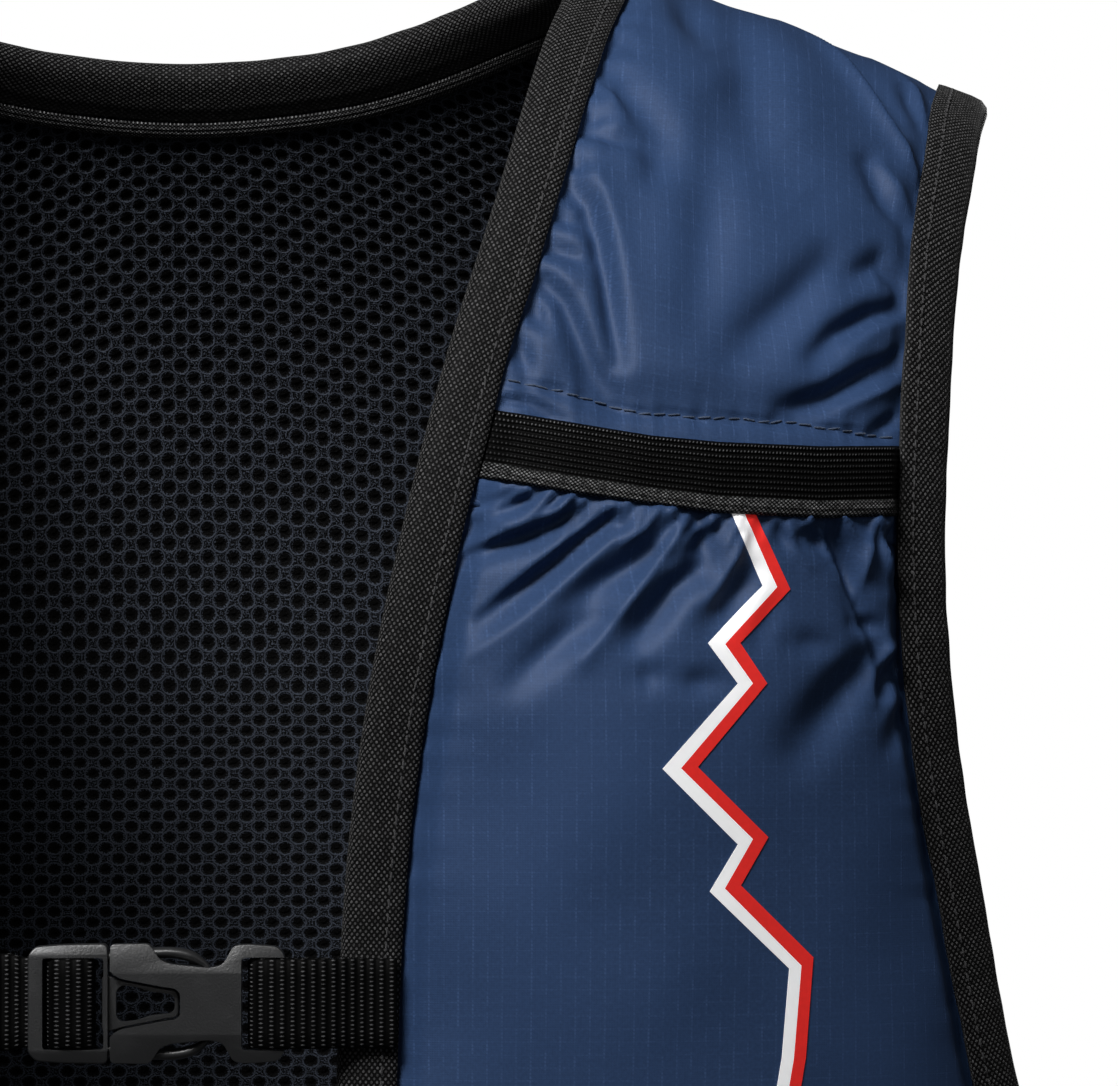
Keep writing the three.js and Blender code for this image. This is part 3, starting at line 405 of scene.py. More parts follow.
neck = Edge(NECK_EDGE, 880, 1)
armhole = Edge(ARMHOLE_EDGE + ARMHOLE_EDGE[:1], 960, -1, closed=True)


def crossing(edge, distance, first, last):
    index = np.linspace(first, last, int(last - first) + 1)
    level = level_of(edge.at(index, distance + 0 * index))
    order = np.argsort(level)
    return level[order], index[order]


UNDER_ARM = int(np.argmin(armhole.at(np.arange(armhole.count), np.full(armhole.count, CUT))[:, 2]))
NECK_LEVELS = {d: crossing(neck, d, 0, neck.count - 1) for d in (CUT, TUCK)}
ARM_FRONT = {d: crossing(armhole, d, 0, UNDER_ARM) for d in (CUT, TUCK)}
ARM_BACK = {d: crossing(armhole, d, UNDER_ARM, armhole.count) for d in (CUT, TUCK)}


def neck_index(level, distance=CUT):
    return np.interp(level, *NECK_LEVELS[distance])


def armhole_index(level, distance=CUT):
    front = np.interp(level, *ARM_FRONT[distance])
    back = np.interp(level, *ARM_BACK[distance])
    return np.where(np.asarray(level) < ARCH_LENGTH, front, back)


FRONT_SEAM = armhole_index(SIDE_SEAM_LEVEL)
BACK_SEAM = armhole_index(BACK_START - SIDE_SEAM_LEVEL)
FRONT_SEAM_ANGLE = float(angle_of(armhole.at(FRONT_SEAM, CUT)))
BACK_SEAM_ANGLE = float(angle_of(armhole.at(BACK_SEAM, CUT)))


def outer_border(level):
    """Where the cloth ends towards the arm: tucked under the tape, or at the side seam."""
    level = np.asarray(level, float)
    front = level < ARCH_LENGTH
    from_hem = np.where(front, level, BACK_START - level)
    share = smooth((from_hem - SIDE_SEAM_LEVEL) / 12)
    held = np.maximum(from_hem, SIDE_SEAM_LEVEL)
    held = np.where(front, held, BACK_START - held)
    cut = armhole.at(armhole_index(held, CUT), CUT + 0 * held)
    tucked = armhole.at(armhole_index(held, TUCK), TUCK + 0 * held)
    taped = settle(mix(cut, tucked, share[..., None]))
    angle = np.where(front, FRONT_SEAM_ANGLE, BACK_SEAM_ANGLE)
    seam = at_angle(angle, ARCH_Z + from_hem)
    return np.where((from_hem > SIDE_SEAM_LEVEL)[..., None], taped, seam)


def between(a, b, u, level):
    by_x = at_level(mix(a[..., 0], b[..., 0], u), level)
    drop = np.where(level > BACK_START, BACK_START - level, level)
    share = smooth((-60 - drop) / 90)
    angle = mix(angle_of(by_x), mix(angle_of(a), angle_of(b), u), share)
    low = at_angle(angle, by_x[..., 2])
    return np.where((share > 0)[..., None], low, by_x)


def front_points(u, level_rows):
    """Points of a front, where level_rows(x) gives each row's level at x."""
    x = mix(45.0, 135.0, u)[None, :]
    level = level_rows(x)
    for _ in range(4):
        inner = neck.at(neck_index(level, TUCK), TUCK + 0 * level)
        p = between(inner, outer_border(level), u[None, :] + 0 * level, level)
        level = level_rows(p[..., 0])
    return p, level


def top_of_back(share):
    corner_index = neck_index(SEAM_LEVEL + 0.2, TUCK)
    corner = neck.at(corner_index, np.asarray(TUCK))
    by_neck = neck.at(corner_index * np.minimum(1, share / CORNER), TUCK + 0 * share)
    end = outer_border(SEAM_LEVEL + 0.2)
    x = mix(corner[0], end[0], np.maximum(0, (share - CORNER) / (1 - CORNER)))
    return np.where((share <= CORNER)[..., None], by_neck, at_level(x, SEAM_LEVEL + 0.2))


def back_points(columns, level_rows):
    """Points of the back, where level_rows(share) gives each row's level at a column."""
    share = np.abs(columns)
    level = level_rows(share[None, :])
    top = top_of_back(share)
    top_level = level_of(top)
    top_share = top[:, 0] / outer_border(top_level)[:, 0]
    rise = np.maximum(0, (UPPER_BACK - level) / (UPPER_BACK - top_level))
    border = outer_border(level)
    centre = np.zeros_like(border)
    centre[..., 1] = 1
    p = between(centre, border, mix(share, top_share, rise), level)
    p[..., 0] *= np.where(columns < 0, -1, 1)
    return p, level


def band_height(x, column):
    return np.interp(x, BAND_LINE[:, 0], BAND_LINE[:, column])


def back_line(down):
    """The line across the back at a distance below its band's top, as a level at each column."""
    def line(share):
        x = share * 135
        for _ in range(4):
            level = level_at(x, -62 - 5 * (1 - (x / 140) ** 2) - down, 1)
            x = share * outer_border(level)[..., 0]
        return level
    return line


# Heights of the cloth above the torso

def crown(u):
    return np.sin(math.pi * np.clip(u, 0, 1)) ** 0.7


def bulge_along(v, low, high, mouth):
    rise = mix(low, high, smooth(v / 0.85)) - (high - mouth) * smooth((v - 0.8) / 0.2)
    return rise * smooth((v + 0.01) / 0.14)


def fold_heights(x, z, folds):
    """Height of all the folds at each place."""
    total = np.zeros_like(x)
    for places, first, last, height in folds:
        places = np.array(places, float)
        reach = 3 * max(first, last)
        low, high = places.min(0) - reach, places.max(0) + reach
        near = (x > low[0]) & (x < high[0]) & (z > low[1]) & (z < high[1])
        if not near.any():
            continue
        px, pz = x[near], z[near]
        steps = np.linalg.norm(np.diff(places, axis=0), axis=1)
        run = np.concatenate([[0], np.cumsum(steps)])
        best, along = np.full(px.shape, 1e9), np.zeros(px.shape)
        for i, step in enumerate(steps):
            dx, dz = (places[i + 1] - places[i]) / step
            t = np.clip((px - places[i, 0]) * dx + (pz - places[i, 1]) * dz, 0, step)
            gap = np.hypot(px - places[i, 0] - t * dx, pz - places[i, 1] - t * dz)
            closer = gap < best
            best[closer], along[closer] = gap[closer], (run[i] + t[closer]) / run[-1]
        width = mix(first, last, along) * (1.0 if height > 0 else 1.15)
        power = 1.35 if height > 0 else 2.0
        ends = np.sin(math.pi * mix(0.22, 0.87, along)) ** 0.8
        total[near] += height * ends * np.exp(-(best / width) ** power)
    return total


def gathers(rng, start, end, height_at, lean_at, spacing, longest):
    """Fine folds that run down from a band's lower edge and fan out."""
    folds = []
    x, sign = start, 1
    while x < end:
        lean = lean_at(x) + rng.normal(0, 0.14)
        length = rng.uniform(0.35, 1) * longest
        top = height_at(x) + 1.5
        drift = rng.uniform(-0.1, 0.25) * np.sign(lean)
        middle = (x + length * 0.5 * math.sin(lean), top - length * 0.5 * math.cos(lean))
        low_lean = lean + drift
        foot = (middle[0] + length * 0.5 * math.sin(low_lean), middle[1] - length * 0.5 * math.cos(low_lean))
        width = rng.uniform(0.7, 1.1)
        height = rng.uniform(0.4, 0.95) * sign
        folds.append(([(x, top), middle, foot], width, width * rng.uniform(1.2, 2.0), height))
        x += spacing * rng.uniform(0.7, 1.3)
        sign = -sign
    return folds


def ripple(s, seed, wavelength):
    """An uneven wave between -1 and 1 along a seam."""
    rng = np.random.default_rng(seed)
    total = np.zeros_like(s)
    for _ in range(4):
        total += np.sin(2 * math.pi * s / (wavelength * rng.uniform(0.7, 1.6)) + rng.uniform(0, 6.3))
    return total / 3


def drift(x, z, seed, size):
    """A slow uneven swell of the cloth between about -1 and 1."""
    rng = np.random.default_rng(seed)
    total = np.zeros_like(x)
    for _ in range(7):
        turn = rng.uniform(0, math.pi)
        wave = size * rng.uniform(0.6, 1.5)
        total += np.sin(2 * math.pi * (x * math.cos(turn) + z * math.sin(turn)) / wave + rng.uniform(0, 6.3))
    return total / 4


# Meshes

def shell_volume(points, faces):
    a, b, c = points[faces[:, 0]], points[faces[:, 1]], points[faces[:, 2]]
    total = (a * np.cross(b, c)).sum()
    if faces.shape[1] == 4:
        total += (a * np.cross(c, points[faces[:, 3]])).sum()
    return total


def add_piece(name, points, faces, material, nodes=(), uv=None):
    """A closed mesh from points in millimetres; faces is a list of arrays of equal-sided faces."""
    if not isinstance(faces, list):
        faces = [faces]
    if sum(shell_volume(points, f[:, :4]) for f in faces) < 0:
        faces = [f[:, ::-1] for f in faces]
    mesh = bpy.data.meshes.new(name)
    loops = np.concatenate([f.ravel() for f in faces]).astype(np.int32)
    totals = np.concatenate([np.full(len(f), f.shape[1]) for f in faces]).astype(np.int32)
    starts = np.concatenate([[0], np.cumsum(totals)[:-1]]).astype(np.int32)
    mesh.vertices.add(len(points))
    mesh.vertices.foreach_set("co", (points * 0.001).astype(np.float32).ravel())
    mesh.loops.add(len(loops))
    mesh.loops.foreach_set("vertex_index", loops)
    mesh.polygons.add(len(totals))
    mesh.polygons.foreach_set("loop_start", starts)
    mesh.polygons.foreach_set("loop_total", totals)
    mesh.polygons.foreach_set("use_smooth", np.full(len(totals), True))
    mesh.update(calc_edges=True)
    mesh.validate()
    if uv is not None:
        layer = mesh.uv_layers.new(name="Cloth")
        layer.data.foreach_set("uv", uv[loops].astype(np.float32).ravel())
    mesh.materials.append(material)
    piece = bpy.data.objects.new(name, mesh)
    bpy.context.scene.collection.objects.link(piece)
    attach(piece, "root")
    if nodes:
        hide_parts(*nodes)
    return piece


def grid_faces(rows, columns, offset=0, wrap_rows=False, wrap_columns=False):
    r = np.arange(rows if wrap_rows else rows - 1)
    c = np.arange(columns if wrap_columns else columns - 1)
    rr, cc = np.meshgrid(r, c, indexing="ij")
    r2, c2 = (rr + 1) % rows, (cc + 1) % columns
    quads = np.stack([rr * columns + cc, rr * columns + c2, r2 * columns + c2, r2 * columns + cc], -1)
    return quads.reshape(-1, 4) + offset


def shell(points, normals, inner, outer):
    """A closed sheet between two heights over a grid of points."""
    rows, columns = points.shape[:2]
    top = (points + normals * outer[..., None]).reshape(-1, 3)
    low = (points + normals * inner[..., None]).reshape(-1, 3)
    n = rows * columns
    faces = [grid_faces(rows, columns), grid_faces(rows, columns, n)[:, ::-1]]
    ring = np.concatenate([
        np.arange(columns), np.arange(1, rows) * columns + columns - 1,
        (rows - 1) * columns + np.arange(columns - 2, -1, -1), np.arange(rows - 2, 0, -1) * columns,
    ])
    after = np.roll(ring, -1)
    faces.append(np.stack([after, ring, ring + n, after + n], -1))
    return np.vstack([top, low]), np.vstack(faces)


def row_distance(points):
    """Distance along each row from its first and to its last point."""
    steps = np.linalg.norm(np.diff(points, axis=1), axis=2)
    run = np.concatenate([np.zeros((len(points), 1)), np.cumsum(steps, axis=1)], axis=1)
    return run, run[:, -1:] - run


def tube_uv(along, across):
    """Places on a tube's surface: along its line and round its section."""
    return np.stack(np.meshgrid(along, across, indexing="ij"), -1).reshape(-1, 2)


def sheet_area(points):
    across, up = points[:-1, 1:] - points[:-1, :-1], points[1:, :-1] - points[:-1, :-1]
    return float(np.linalg.norm(np.cross(across, up), axis=2).sum()) * 1e-6


SECTION_ANGLES = np.linspace(0, 2 * math.pi, 4001)
SECTION_POINTS = at_angle(SECTION_ANGLES, ARCH_Z)
SECTION_ARC = run_along(SECTION_POINTS)


def cloth_uv(points, level):
    """Where the cloth's threads lie, in millimetres: round the body, and up the level lines."""
    side = np.where(points[..., 1] <= 0, -1.0, 1.0)
    flat = on_torso(np.clip(points[..., 0], -174.9, 174.9), ARCH_Z, side)
    angle = np.where(points[..., 2] < ARCH_Z, angle_of(points), angle_of(flat))
    arc = np.interp(angle % (2 * math.pi), SECTION_ANGLES, SECTION_ARC)
    return np.stack([arc, level * 1.06], axis=-1)


def lift_direction(points):
    """The way a cloth lies away from the torso: outward, and level below the shoulder."""
    level_below = smooth((-28 - points[..., 2:]) / 36)
    across = 1 + 0 * level_below
    return unit(outward(points) * np.concatenate([across, across, 1 - level_below], -1))


def lifted_places(points, height):
    p = points + lift_direction(points) * height
    return p[..., 0], p[..., 2]


def front_sheet(name, side, material, us, rows, heights, wall, held, node):
    """A cloth of one front; heights gives the outer face's height at each point."""
    points, level = front_points(us, rows)
    normals = lift_direction(points)
    run, back = row_distance(points)
    outer = heights(points, level, run, back)
    uv = cloth_uv(points, level)
    area = sheet_area(points + normals * outer[..., None])
    if side < 0:
        points, normals = points * (-1, 1, 1), normals * (-1, 1, 1)
        uv = uv * (-1, 1)
    made, faces = shell(points, normals, outer - wall, outer)
    uv = np.vstack([uv.reshape(-1, 2)] * 2)
    piece = add_piece(name, made, faces, material, [node], uv)
    declare_sheet(points, area, held)
    return piece


# What is added to a made cloth's area: for hems, and for gathers too fine to be modelled. Both are guesses.
HEM_SPARE, GATHER_SPARE = 1.02, 1.08
LEAST_SHARE, LENGTH_SPARE = 0.31, 1.01


def declare_sheet(points, area, held):
    """Works out a sheet's flat size but keeps none of it. Width and length are measured on the torso under
    the cloth, and the area is the made one with its allowance. Where that is more than width by length,
    the length is raised to hold it, and is then no longer a measured one."""
    run, _ = row_distance(points)
    width = float(run[:, -1].max()) * 1e-3
    climb = np.linalg.norm(np.diff(points, axis=0), axis=2).sum(0)
    length = float(climb.max()) * 1e-3
    spare = GATHER_SPARE if held == "gathered" else HEM_SPARE
    if area * spare > width * length:
        length = area * spare * LENGTH_SPARE / width


# Materials

class Wires:
    """Short ways to place and join nodes of one tree."""

    def __init__(self, tree):
        self.tree = tree

    def node(self, kind, **inputs):
        made = self.tree.nodes.new(kind)
        for key, value in inputs.items():
            self.feed(made.inputs[key.replace("_", " ")], value)
        return made

    def feed(self, socket, value):
        if isinstance(value, bpy.types.NodeSocket):
            self.tree.links.new(value, socket)
        else:
            socket.default_value = value

    def math(self, operation, *values):
        made = self.tree.nodes.new("ShaderNodeMath")
        made.operation = operation
        for socket, value in zip(made.inputs, values):
            self.feed(socket, value)
        return made.outputs[0]

    def wave(self, value, period, shift=0.0):
        """A smooth wave between 0 and 1."""
        turned = self.math("MULTIPLY_ADD", value, 2 * math.pi / period, shift)
        return self.math("MULTIPLY_ADD", self.math("COSINE", turned), 0.5, 0.5)

    def blend(self, factor, low, high):
        made = self.tree.nodes.new("ShaderNodeMix")
        made.data_type = "RGBA"
        self.feed(made.inputs["Factor"], factor)
        self.feed(made.inputs["A"], low)
        self.feed(made.inputs["B"], high)
        return made.outputs["Result"]

    def span(self, value, low, high, to_low=0.0, to_high=1.0):
        made = self.tree.nodes.new("ShaderNodeMapRange")
        made.interpolation_type = "SMOOTHSTEP"
        for socket, v in zip(made.inputs, (value, low, high, to_low, to_high)):
            self.feed(socket, v)
        return made.outputs[0]

    def noise(self, vector, scale, detail=3.0):
        made = self.tree.nodes.new("ShaderNodeTexNoise")
        self.feed(made.inputs["Vector"], vector)
        made.inputs["Scale"].default_value = scale
        made.inputs["Detail"].default_value = detail
        return made.outputs["Fac"]


def ripstop_weave(w, start):
    """Grid of doubled threads, dotted where they pass over the others, on a fine plain weave."""
    place = w.node("ShaderNodeSeparateXYZ", Vector=start.outputs["Place"])
    u, v = place.outputs[0], place.outputs[1]
    pitch = start.outputs["Pitch"]
    lines = []
    for a, b in ((u, v), (v, u)):
        near = w.math("PINGPONG", w.math("DIVIDE", a, pitch), 0.5)
        line = w.span(w.math("MULTIPLY", near, pitch), 0.05, 0.24, 1.0, 0.0)
        dots = w.math("MULTIPLY_ADD", w.wave(b, 0.74), 0.75, 0.25)
        lines.append(w.math("MULTIPLY", line, dots))
    uneven = w.span(w.noise(start.outputs["Place"], 0.35, 4.0), 0.35, 0.7)
    thread = w.math("MULTIPLY", w.math("MAXIMUM", lines[0], w.math("MULTIPLY", lines[1], 0.45)), uneven)
    fine = w.math("MULTIPLY", w.wave(u, 0.42), w.wave(v, 0.42))
    height = w.math("ADD", w.math("MULTIPLY", thread, 0.8), w.math("MULTIPLY", fine, 0.3))
    return {"Thread": thread, "Height": height}


def tape_weave(w, start):
    """Short floats in staggered rows."""
    place = w.node("ShaderNodeSeparateXYZ", Vector=start.outputs["Place"])
    along, across = place.outputs[0], place.outputs[1]
    pitch = start.outputs["Pitch"]
    rise, fall = w.math("DIVIDE", along, pitch), w.math("DIVIDE", across, w.math("MULTIPLY", pitch, 0.78))
    first = w.wave(w.math("ADD", rise, fall), 1.0)
    second = w.wave(w.math("SUBTRACT", rise, fall), 1.0)
    dots = w.span(w.math("MULTIPLY", first, second), 0.1, 0.62)
    uneven = w.span(w.noise(start.outputs["Place"], 0.9, 4.0), 0.32, 0.72, 0.22, 1.0)
    return {"Thread": w.math("MULTIPLY", dots, uneven), "Height": dots}


def rib_weave(w, start):
    """Cords side by side, each crossed by small floats."""
    place = w.node("ShaderNodeSeparateXYZ", Vector=start.outputs["Place"])
    along, across = place.outputs[0], place.outputs[1]
    rib = w.math("DIVIDE", across, start.outputs["Rib"])
    step = w.math("MULTIPLY", w.math("FLOOR", rib), 0.5)
    floats = w.wave(w.math("ADD", w.math("DIVIDE", along, start.outputs["Pitch"]), step), 1.0)
    round_ribs = w.wave(w.math("ADD", rib, 0.5), 1.0)
    dots = w.span(w.math("MULTIPLY", floats, round_ribs), 0.42, 0.92)
    uneven = w.span(w.noise(start.outputs["Place"], 1.1, 3.0), 0.3, 0.75, 0.4, 1.0)
    return {"Thread": w.math("MULTIPLY", dots, uneven), "Height": w.math("ADD", dots, round_ribs)}


def spacer_holes(w, start):
    """Distance from the nearest hole's middle in a lattice of staggered rows."""
    place = w.node("ShaderNodeSeparateXYZ", Vector=start.outputs["Place"])
    step, climb = start.outputs["Across"], start.outputs["Up"]
    a, b = w.math("DIVIDE", place.outputs[0], step), w.math("DIVIDE", place.outputs[1], climb)
    first = w.math("SUBTRACT", w.math("FRACT", w.math("ADD", w.math("ADD", a, b), 0.5)), 0.5)
    second = w.math("SUBTRACT", w.math("FRACT", w.math("ADD", w.math("SUBTRACT", a, b), 0.5)), 0.5)
    across = w.math("MULTIPLY", w.math("ADD", first, second), w.math("MULTIPLY", step, 0.5))
    # The holes are wider than high, so heights count for more in the distance
    up = w.math("MULTIPLY", w.math("SUBTRACT", first, second), w.math("MULTIPLY", climb, 0.61))
    distance = w.math("SQRT", w.math("ADD", w.math("MULTIPLY", across, across), w.math("MULTIPLY", up, up)))
    # Painted highlight: a lighter ring round each hole, as if its raised rim were lit.
    ring = w.span(w.math("ABSOLUTE", w.math("SUBTRACT", distance, 1.55)), 0.0, 0.26, 0.8, 0.0)
    hole = w.span(distance, 1.22, 1.4, 1.0, 0.0)
    knit = w.math("MULTIPLY", w.noise(start.outputs["Place"], 3.2, 2.0), 0.9)
    thread = w.math("MAXIMUM", ring, w.span(knit, 0.41, 0.57, 0.0, 0.9))
    return {"Thread": thread, "Hole": hole}


def moulded_grain(w, start):
    """Fine spark-eroded grain with a few soft scuffs."""
    fine = w.noise(start.outputs["Place"], 2600.0, 4.0)
    scuff = w.span(w.noise(start.outputs["Place"], 180.0, 5.0), 0.5, 0.72)
    return {"Grain": fine, "Scuff": scuff}


# Each group: what builds it, its inputs beside the place, and its outputs
WEAVES = {
    "Ripstop weave": (ripstop_weave, {"Pitch": 2.4}, ("Thread", "Height")),
    "Tape weave": (tape_weave, {"Pitch": 1.0}, ("Thread", "Height")),
    "Rib weave": (rib_weave, {"Pitch": 0.6, "Rib": 1.0}, ("Thread", "Height")),
    "Spacer holes": (spacer_holes, {"Across": HOLE_ACROSS, "Up": 2 * HOLE_UP}, ("Thread", "Hole")),
    "Moulded grain": (moulded_grain, {}, ("Grain", "Scuff")),
}


def weave_group(name):
    """A shader node group, made once."""
    if name in bpy.data.node_groups:
        return bpy.data.node_groups[name]
    build, values, outputs = WEAVES[name]
    group = bpy.data.node_groups.new(name, "ShaderNodeTree")
    group.interface.new_socket("Place", in_out="INPUT", socket_type="NodeSocketVector")
    for label, value in values.items():
        socket = group.interface.new_socket(label, in_out="INPUT", socket_type="NodeSocketFloat")
        socket.default_value = value
    for label in outputs:
        group.interface.new_socket(label, in_out="OUTPUT", socket_type="NodeSocketFloat")
    start = group.nodes.new("NodeGroupInput")
    end = group.nodes.new("NodeGroupOutput")
    for label, value in build(Wires(group), start).items():
        group.links.new(value, end.inputs[label])
    return group


def new_material(name, roughness, sheen=0.0, specular=0.5, sheen_roughness=0.5):
    """A Principled material, its node tree and its shader."""
    made = bpy.data.materials.get(name)
    if made is not None:
        return made, None, None
    made = bpy.data.materials.new(name)
    made.use_nodes = True
    shader = made.node_tree.nodes["Principled BSDF"]
    shader.inputs["Roughness"].default_value = roughness
    shader.inputs["Sheen Weight"].default_value = sheen
    shader.inputs["Sheen Roughness"].default_value = sheen_roughness
    shader.inputs["Specular IOR Level"].default_value = specular
    return made, Wires(made.node_tree), shader


def shade(tint, share, more=0.0):
    """A colour made darker or lighter, with its alpha."""
    return tuple(min(1, c * share + more) for c in tint) + (1,)


def object_place(w):
    return w.tree.nodes.new("ShaderNodeTexCoord").outputs["Object"]


def cloth_place(w):
    made = w.tree.nodes.new("ShaderNodeUVMap")
    made.uv_map = "Cloth"
    return made.outputs["UV"]


def group_node(w, name, **inputs):
    made = w.tree.nodes.new("ShaderNodeGroup")
    made.node_tree = weave_group(name)
    for key, value in inputs.items():
        w.feed(made.inputs[key], value)
    return made.outputs


def bump(w, shader, height, distance, strength):
    made = w.node("ShaderNodeBump", Height=height, Strength=strength, Distance=distance)
    w.feed(shader.inputs["Normal"], made.outputs[0])


def ripstop_material(colours):
    made, w, shader = new_material("Ripstop nylon", 0.55, specular=0.18)
    if w is None:
        return made
    shader.inputs["Metallic"].default_value = 0.06
    place = cloth_place(w)
    weave = group_node(w, "Ripstop weave", Place=place, Pitch=2.4)
    cloud = w.span(w.noise(place, 0.02, 4.0), 0.3, 0.7)
    base = w.blend(cloud, shade(colours.ripstop, 0.86), shade(colours.ripstop, 1.1))
    grain = w.span(w.noise(place, 1.6, 3.0), 0.3, 0.7)
    base = w.blend(w.math("MULTIPLY", grain, 0.3), base, shade(colours.ripstop, 1.5))
    # Painted highlight: where the grid threads rise over the others, the cloth is coloured lighter, as if
    # lit.
    light = shade(colours.ripstop, 2.3, 0.02)
    w.feed(shader.inputs["Base Color"], w.blend(w.math("MULTIPLY", weave["Thread"], 0.42), base, light))
    w.feed(shader.inputs["Roughness"], w.math("MULTIPLY_ADD", weave["Height"], 0.1, 0.55))
    bump(w, shader, weave["Height"], 0.00012, 0.35)
    return made


def tape_material(colours):
    made, w, shader = new_material("Binding tape", 0.7, sheen=0.1, specular=0.12, sheen_roughness=0.35)
    if w is None:
        return made
    weave = group_node(w, "Tape weave", Place=cloth_place(w), Pitch=1.25)
    # Painted light and shade: the tape's floats are coloured far lighter, as if lit, and the gaps between
    # them near black, as if in shade.
    colour = w.blend(weave["Thread"], shade(colours.tape, 0.06), shade(colours.tape, 9.5))
    w.feed(shader.inputs["Base Color"], colour)
    bump(w, shader, weave["Height"], 0.0003, 0.8)
    return made


def ribbed_material(name, tint, pitch, rib, lip=None):
    made, w, shader = new_material(name, 0.65, specular=0.07)
    if w is None:
        return made
    place = cloth_place(w)
    weave = group_node(w, "Rib weave", Place=place, Pitch=pitch, Rib=rib)
    thread, height = weave["Thread"], weave["Height"]
    if lip:
        across = w.node("ShaderNodeSeparateXYZ", Vector=place).outputs[1]
        low = w.span(across, lip - 0.15, lip + 0.15, 1.0, 0.0)
        high = w.span(across, 7.5, 11.6)
        weft = group_node(w, "Tape weave", Place=place, Pitch=0.8)
        thread = w.math("MULTIPLY", thread, w.math("MULTIPLY_ADD", high, 0.5, 0.2))
        thread = w.math("MAXIMUM", thread, w.math("MULTIPLY", weft["Thread"], low))
    else:
        thread = w.math("MULTIPLY", thread, 0.5)
    # Painted light and shade: the floats and the crowns of the ribs are coloured far lighter, as if lit, and
    # the gaps near black, as if in shade.
    w.feed(shader.inputs["Base Color"], w.blend(thread, shade(tint, 0.06), shade(tint, 24)))
    bump(w, shader, height, 0.00022, 0.8)
    return made


def spacer_material(colours, drawn_holes):
    name = "Spacer mesh with drawn holes" if drawn_holes else "Spacer mesh"
    made, w, shader = new_material(name, 0.7, specular=0.1)
    if w is None:
        return made
    holes = group_node(w, "Spacer holes", Place=cloth_place(w), Across=HOLE_ACROSS, Up=2 * HOLE_UP)
    # Painted light and shade: the rims and the knit threads are coloured far lighter, as if lit, and the
    # ground between them near black, as if in shade.
    colour = w.blend(holes["Thread"], shade(colours.mesh, 0.05), shade(colours.mesh, 3.4))
    height = holes["Thread"]
    if drawn_holes:
        # Painted shade: each drawn hole is filled with near black, the shade inside a hole, on a sheet that
        # has none.
        colour = w.blend(holes["Hole"], colour, (0.0008, 0.0008, 0.001, 1))
        height = w.math("SUBTRACT", height, w.math("MULTIPLY", holes["Hole"], 2.0))
    else:
        # Painted shade: the holes' pits turn near black with their depth, as the shade inside them would,
        # and so does the other face, which lies under the back's cloth.
        depth = w.span(w.node("ShaderNodeAttribute").outputs["Fac"], 0.1, 0.3)
        w.tree.nodes["Attribute"].attribute_name = "Depth"
        colour = w.blend(depth, colour, (0.0006, 0.0006, 0.0008, 1))
    w.feed(shader.inputs["Base Color"], colour)
    bump(w, shader, height, 0.0003, 0.8)
    return made


def film_material(name, tint):
    made, w, shader = new_material(name, 0.5, specular=0.3)
    if w is None:
        return made
    # Painted light: the film glows faintly in its own colour, brighter than the lamps alone make it.
    shader.inputs["Emission Color"].default_value = shade(tint, 1)
    shader.inputs["Emission Strength"].default_value = 0.22
    place = object_place(w)
    mottle = w.span(w.noise(place, 900.0, 3.0), 0.3, 0.7)
    w.feed(shader.inputs["Base Color"], w.blend(mottle, shade(tint, 0.93), shade(tint, 1)))
    bump(w, shader, w.noise(place, 2200.0, 2.0), 0.00005, 0.3)
    return made


def thread_material(name, tint):
    made, w, shader = new_material(name, 0.6, sheen=0.2, specular=0.3)
    if w is None:
        return made
    place = object_place(w)
    twist = w.span(w.noise(place, 3000.0, 2.0), 0.35, 0.65)
    w.feed(shader.inputs["Base Color"], w.blend(twist, shade(tint, 0.6), shade(tint, 1)))
    bump(w, shader, twist, 0.00008, 0.6)
    return made


def plastic_material(colours):
    made, w, shader = new_material("Moulded plastic", 0.36, specular=0.7)
    if w is None:
        return made
    place = object_place(w)
    grain = group_node(w, "Moulded grain", Place=place)
    colour = w.blend(grain["Scuff"], shade(colours.plastic, 0.9), shade(colours.plastic, 1.25))
    w.feed(shader.inputs["Base Color"], colour)
    w.feed(shader.inputs["Roughness"], w.math("MULTIPLY_ADD", grain["Grain"], 0.2, 0.26))
    bump(w, shader, grain["Grain"], 0.00008, 0.5)
    return made


# Pieces

def make_front_lining(side, name, material):
    base = np.concatenate([np.linspace(-219, -40, 60), np.linspace(-36, PANEL_TOP, 70)])

    def rows(x):
        return base[:, None] + 0 * x

    def heights(points, level, run, back):
        return 1.9 + 0.7 * smooth((np.minimum(run, back) - 3) / 5)

    front_sheet(f"{name}_spacer_lining", side, material, np.linspace(0, 1, 40), rows, heights,
                1.8, "stretched", f"{name}_front_mesh")


def above_lining(heights, floor=2.9):
    """Keeps the deepest valleys clear of the cloth beneath, with a soft foot."""
    return floor + np.logaddexp(0, (heights - floor) * 3) / 3


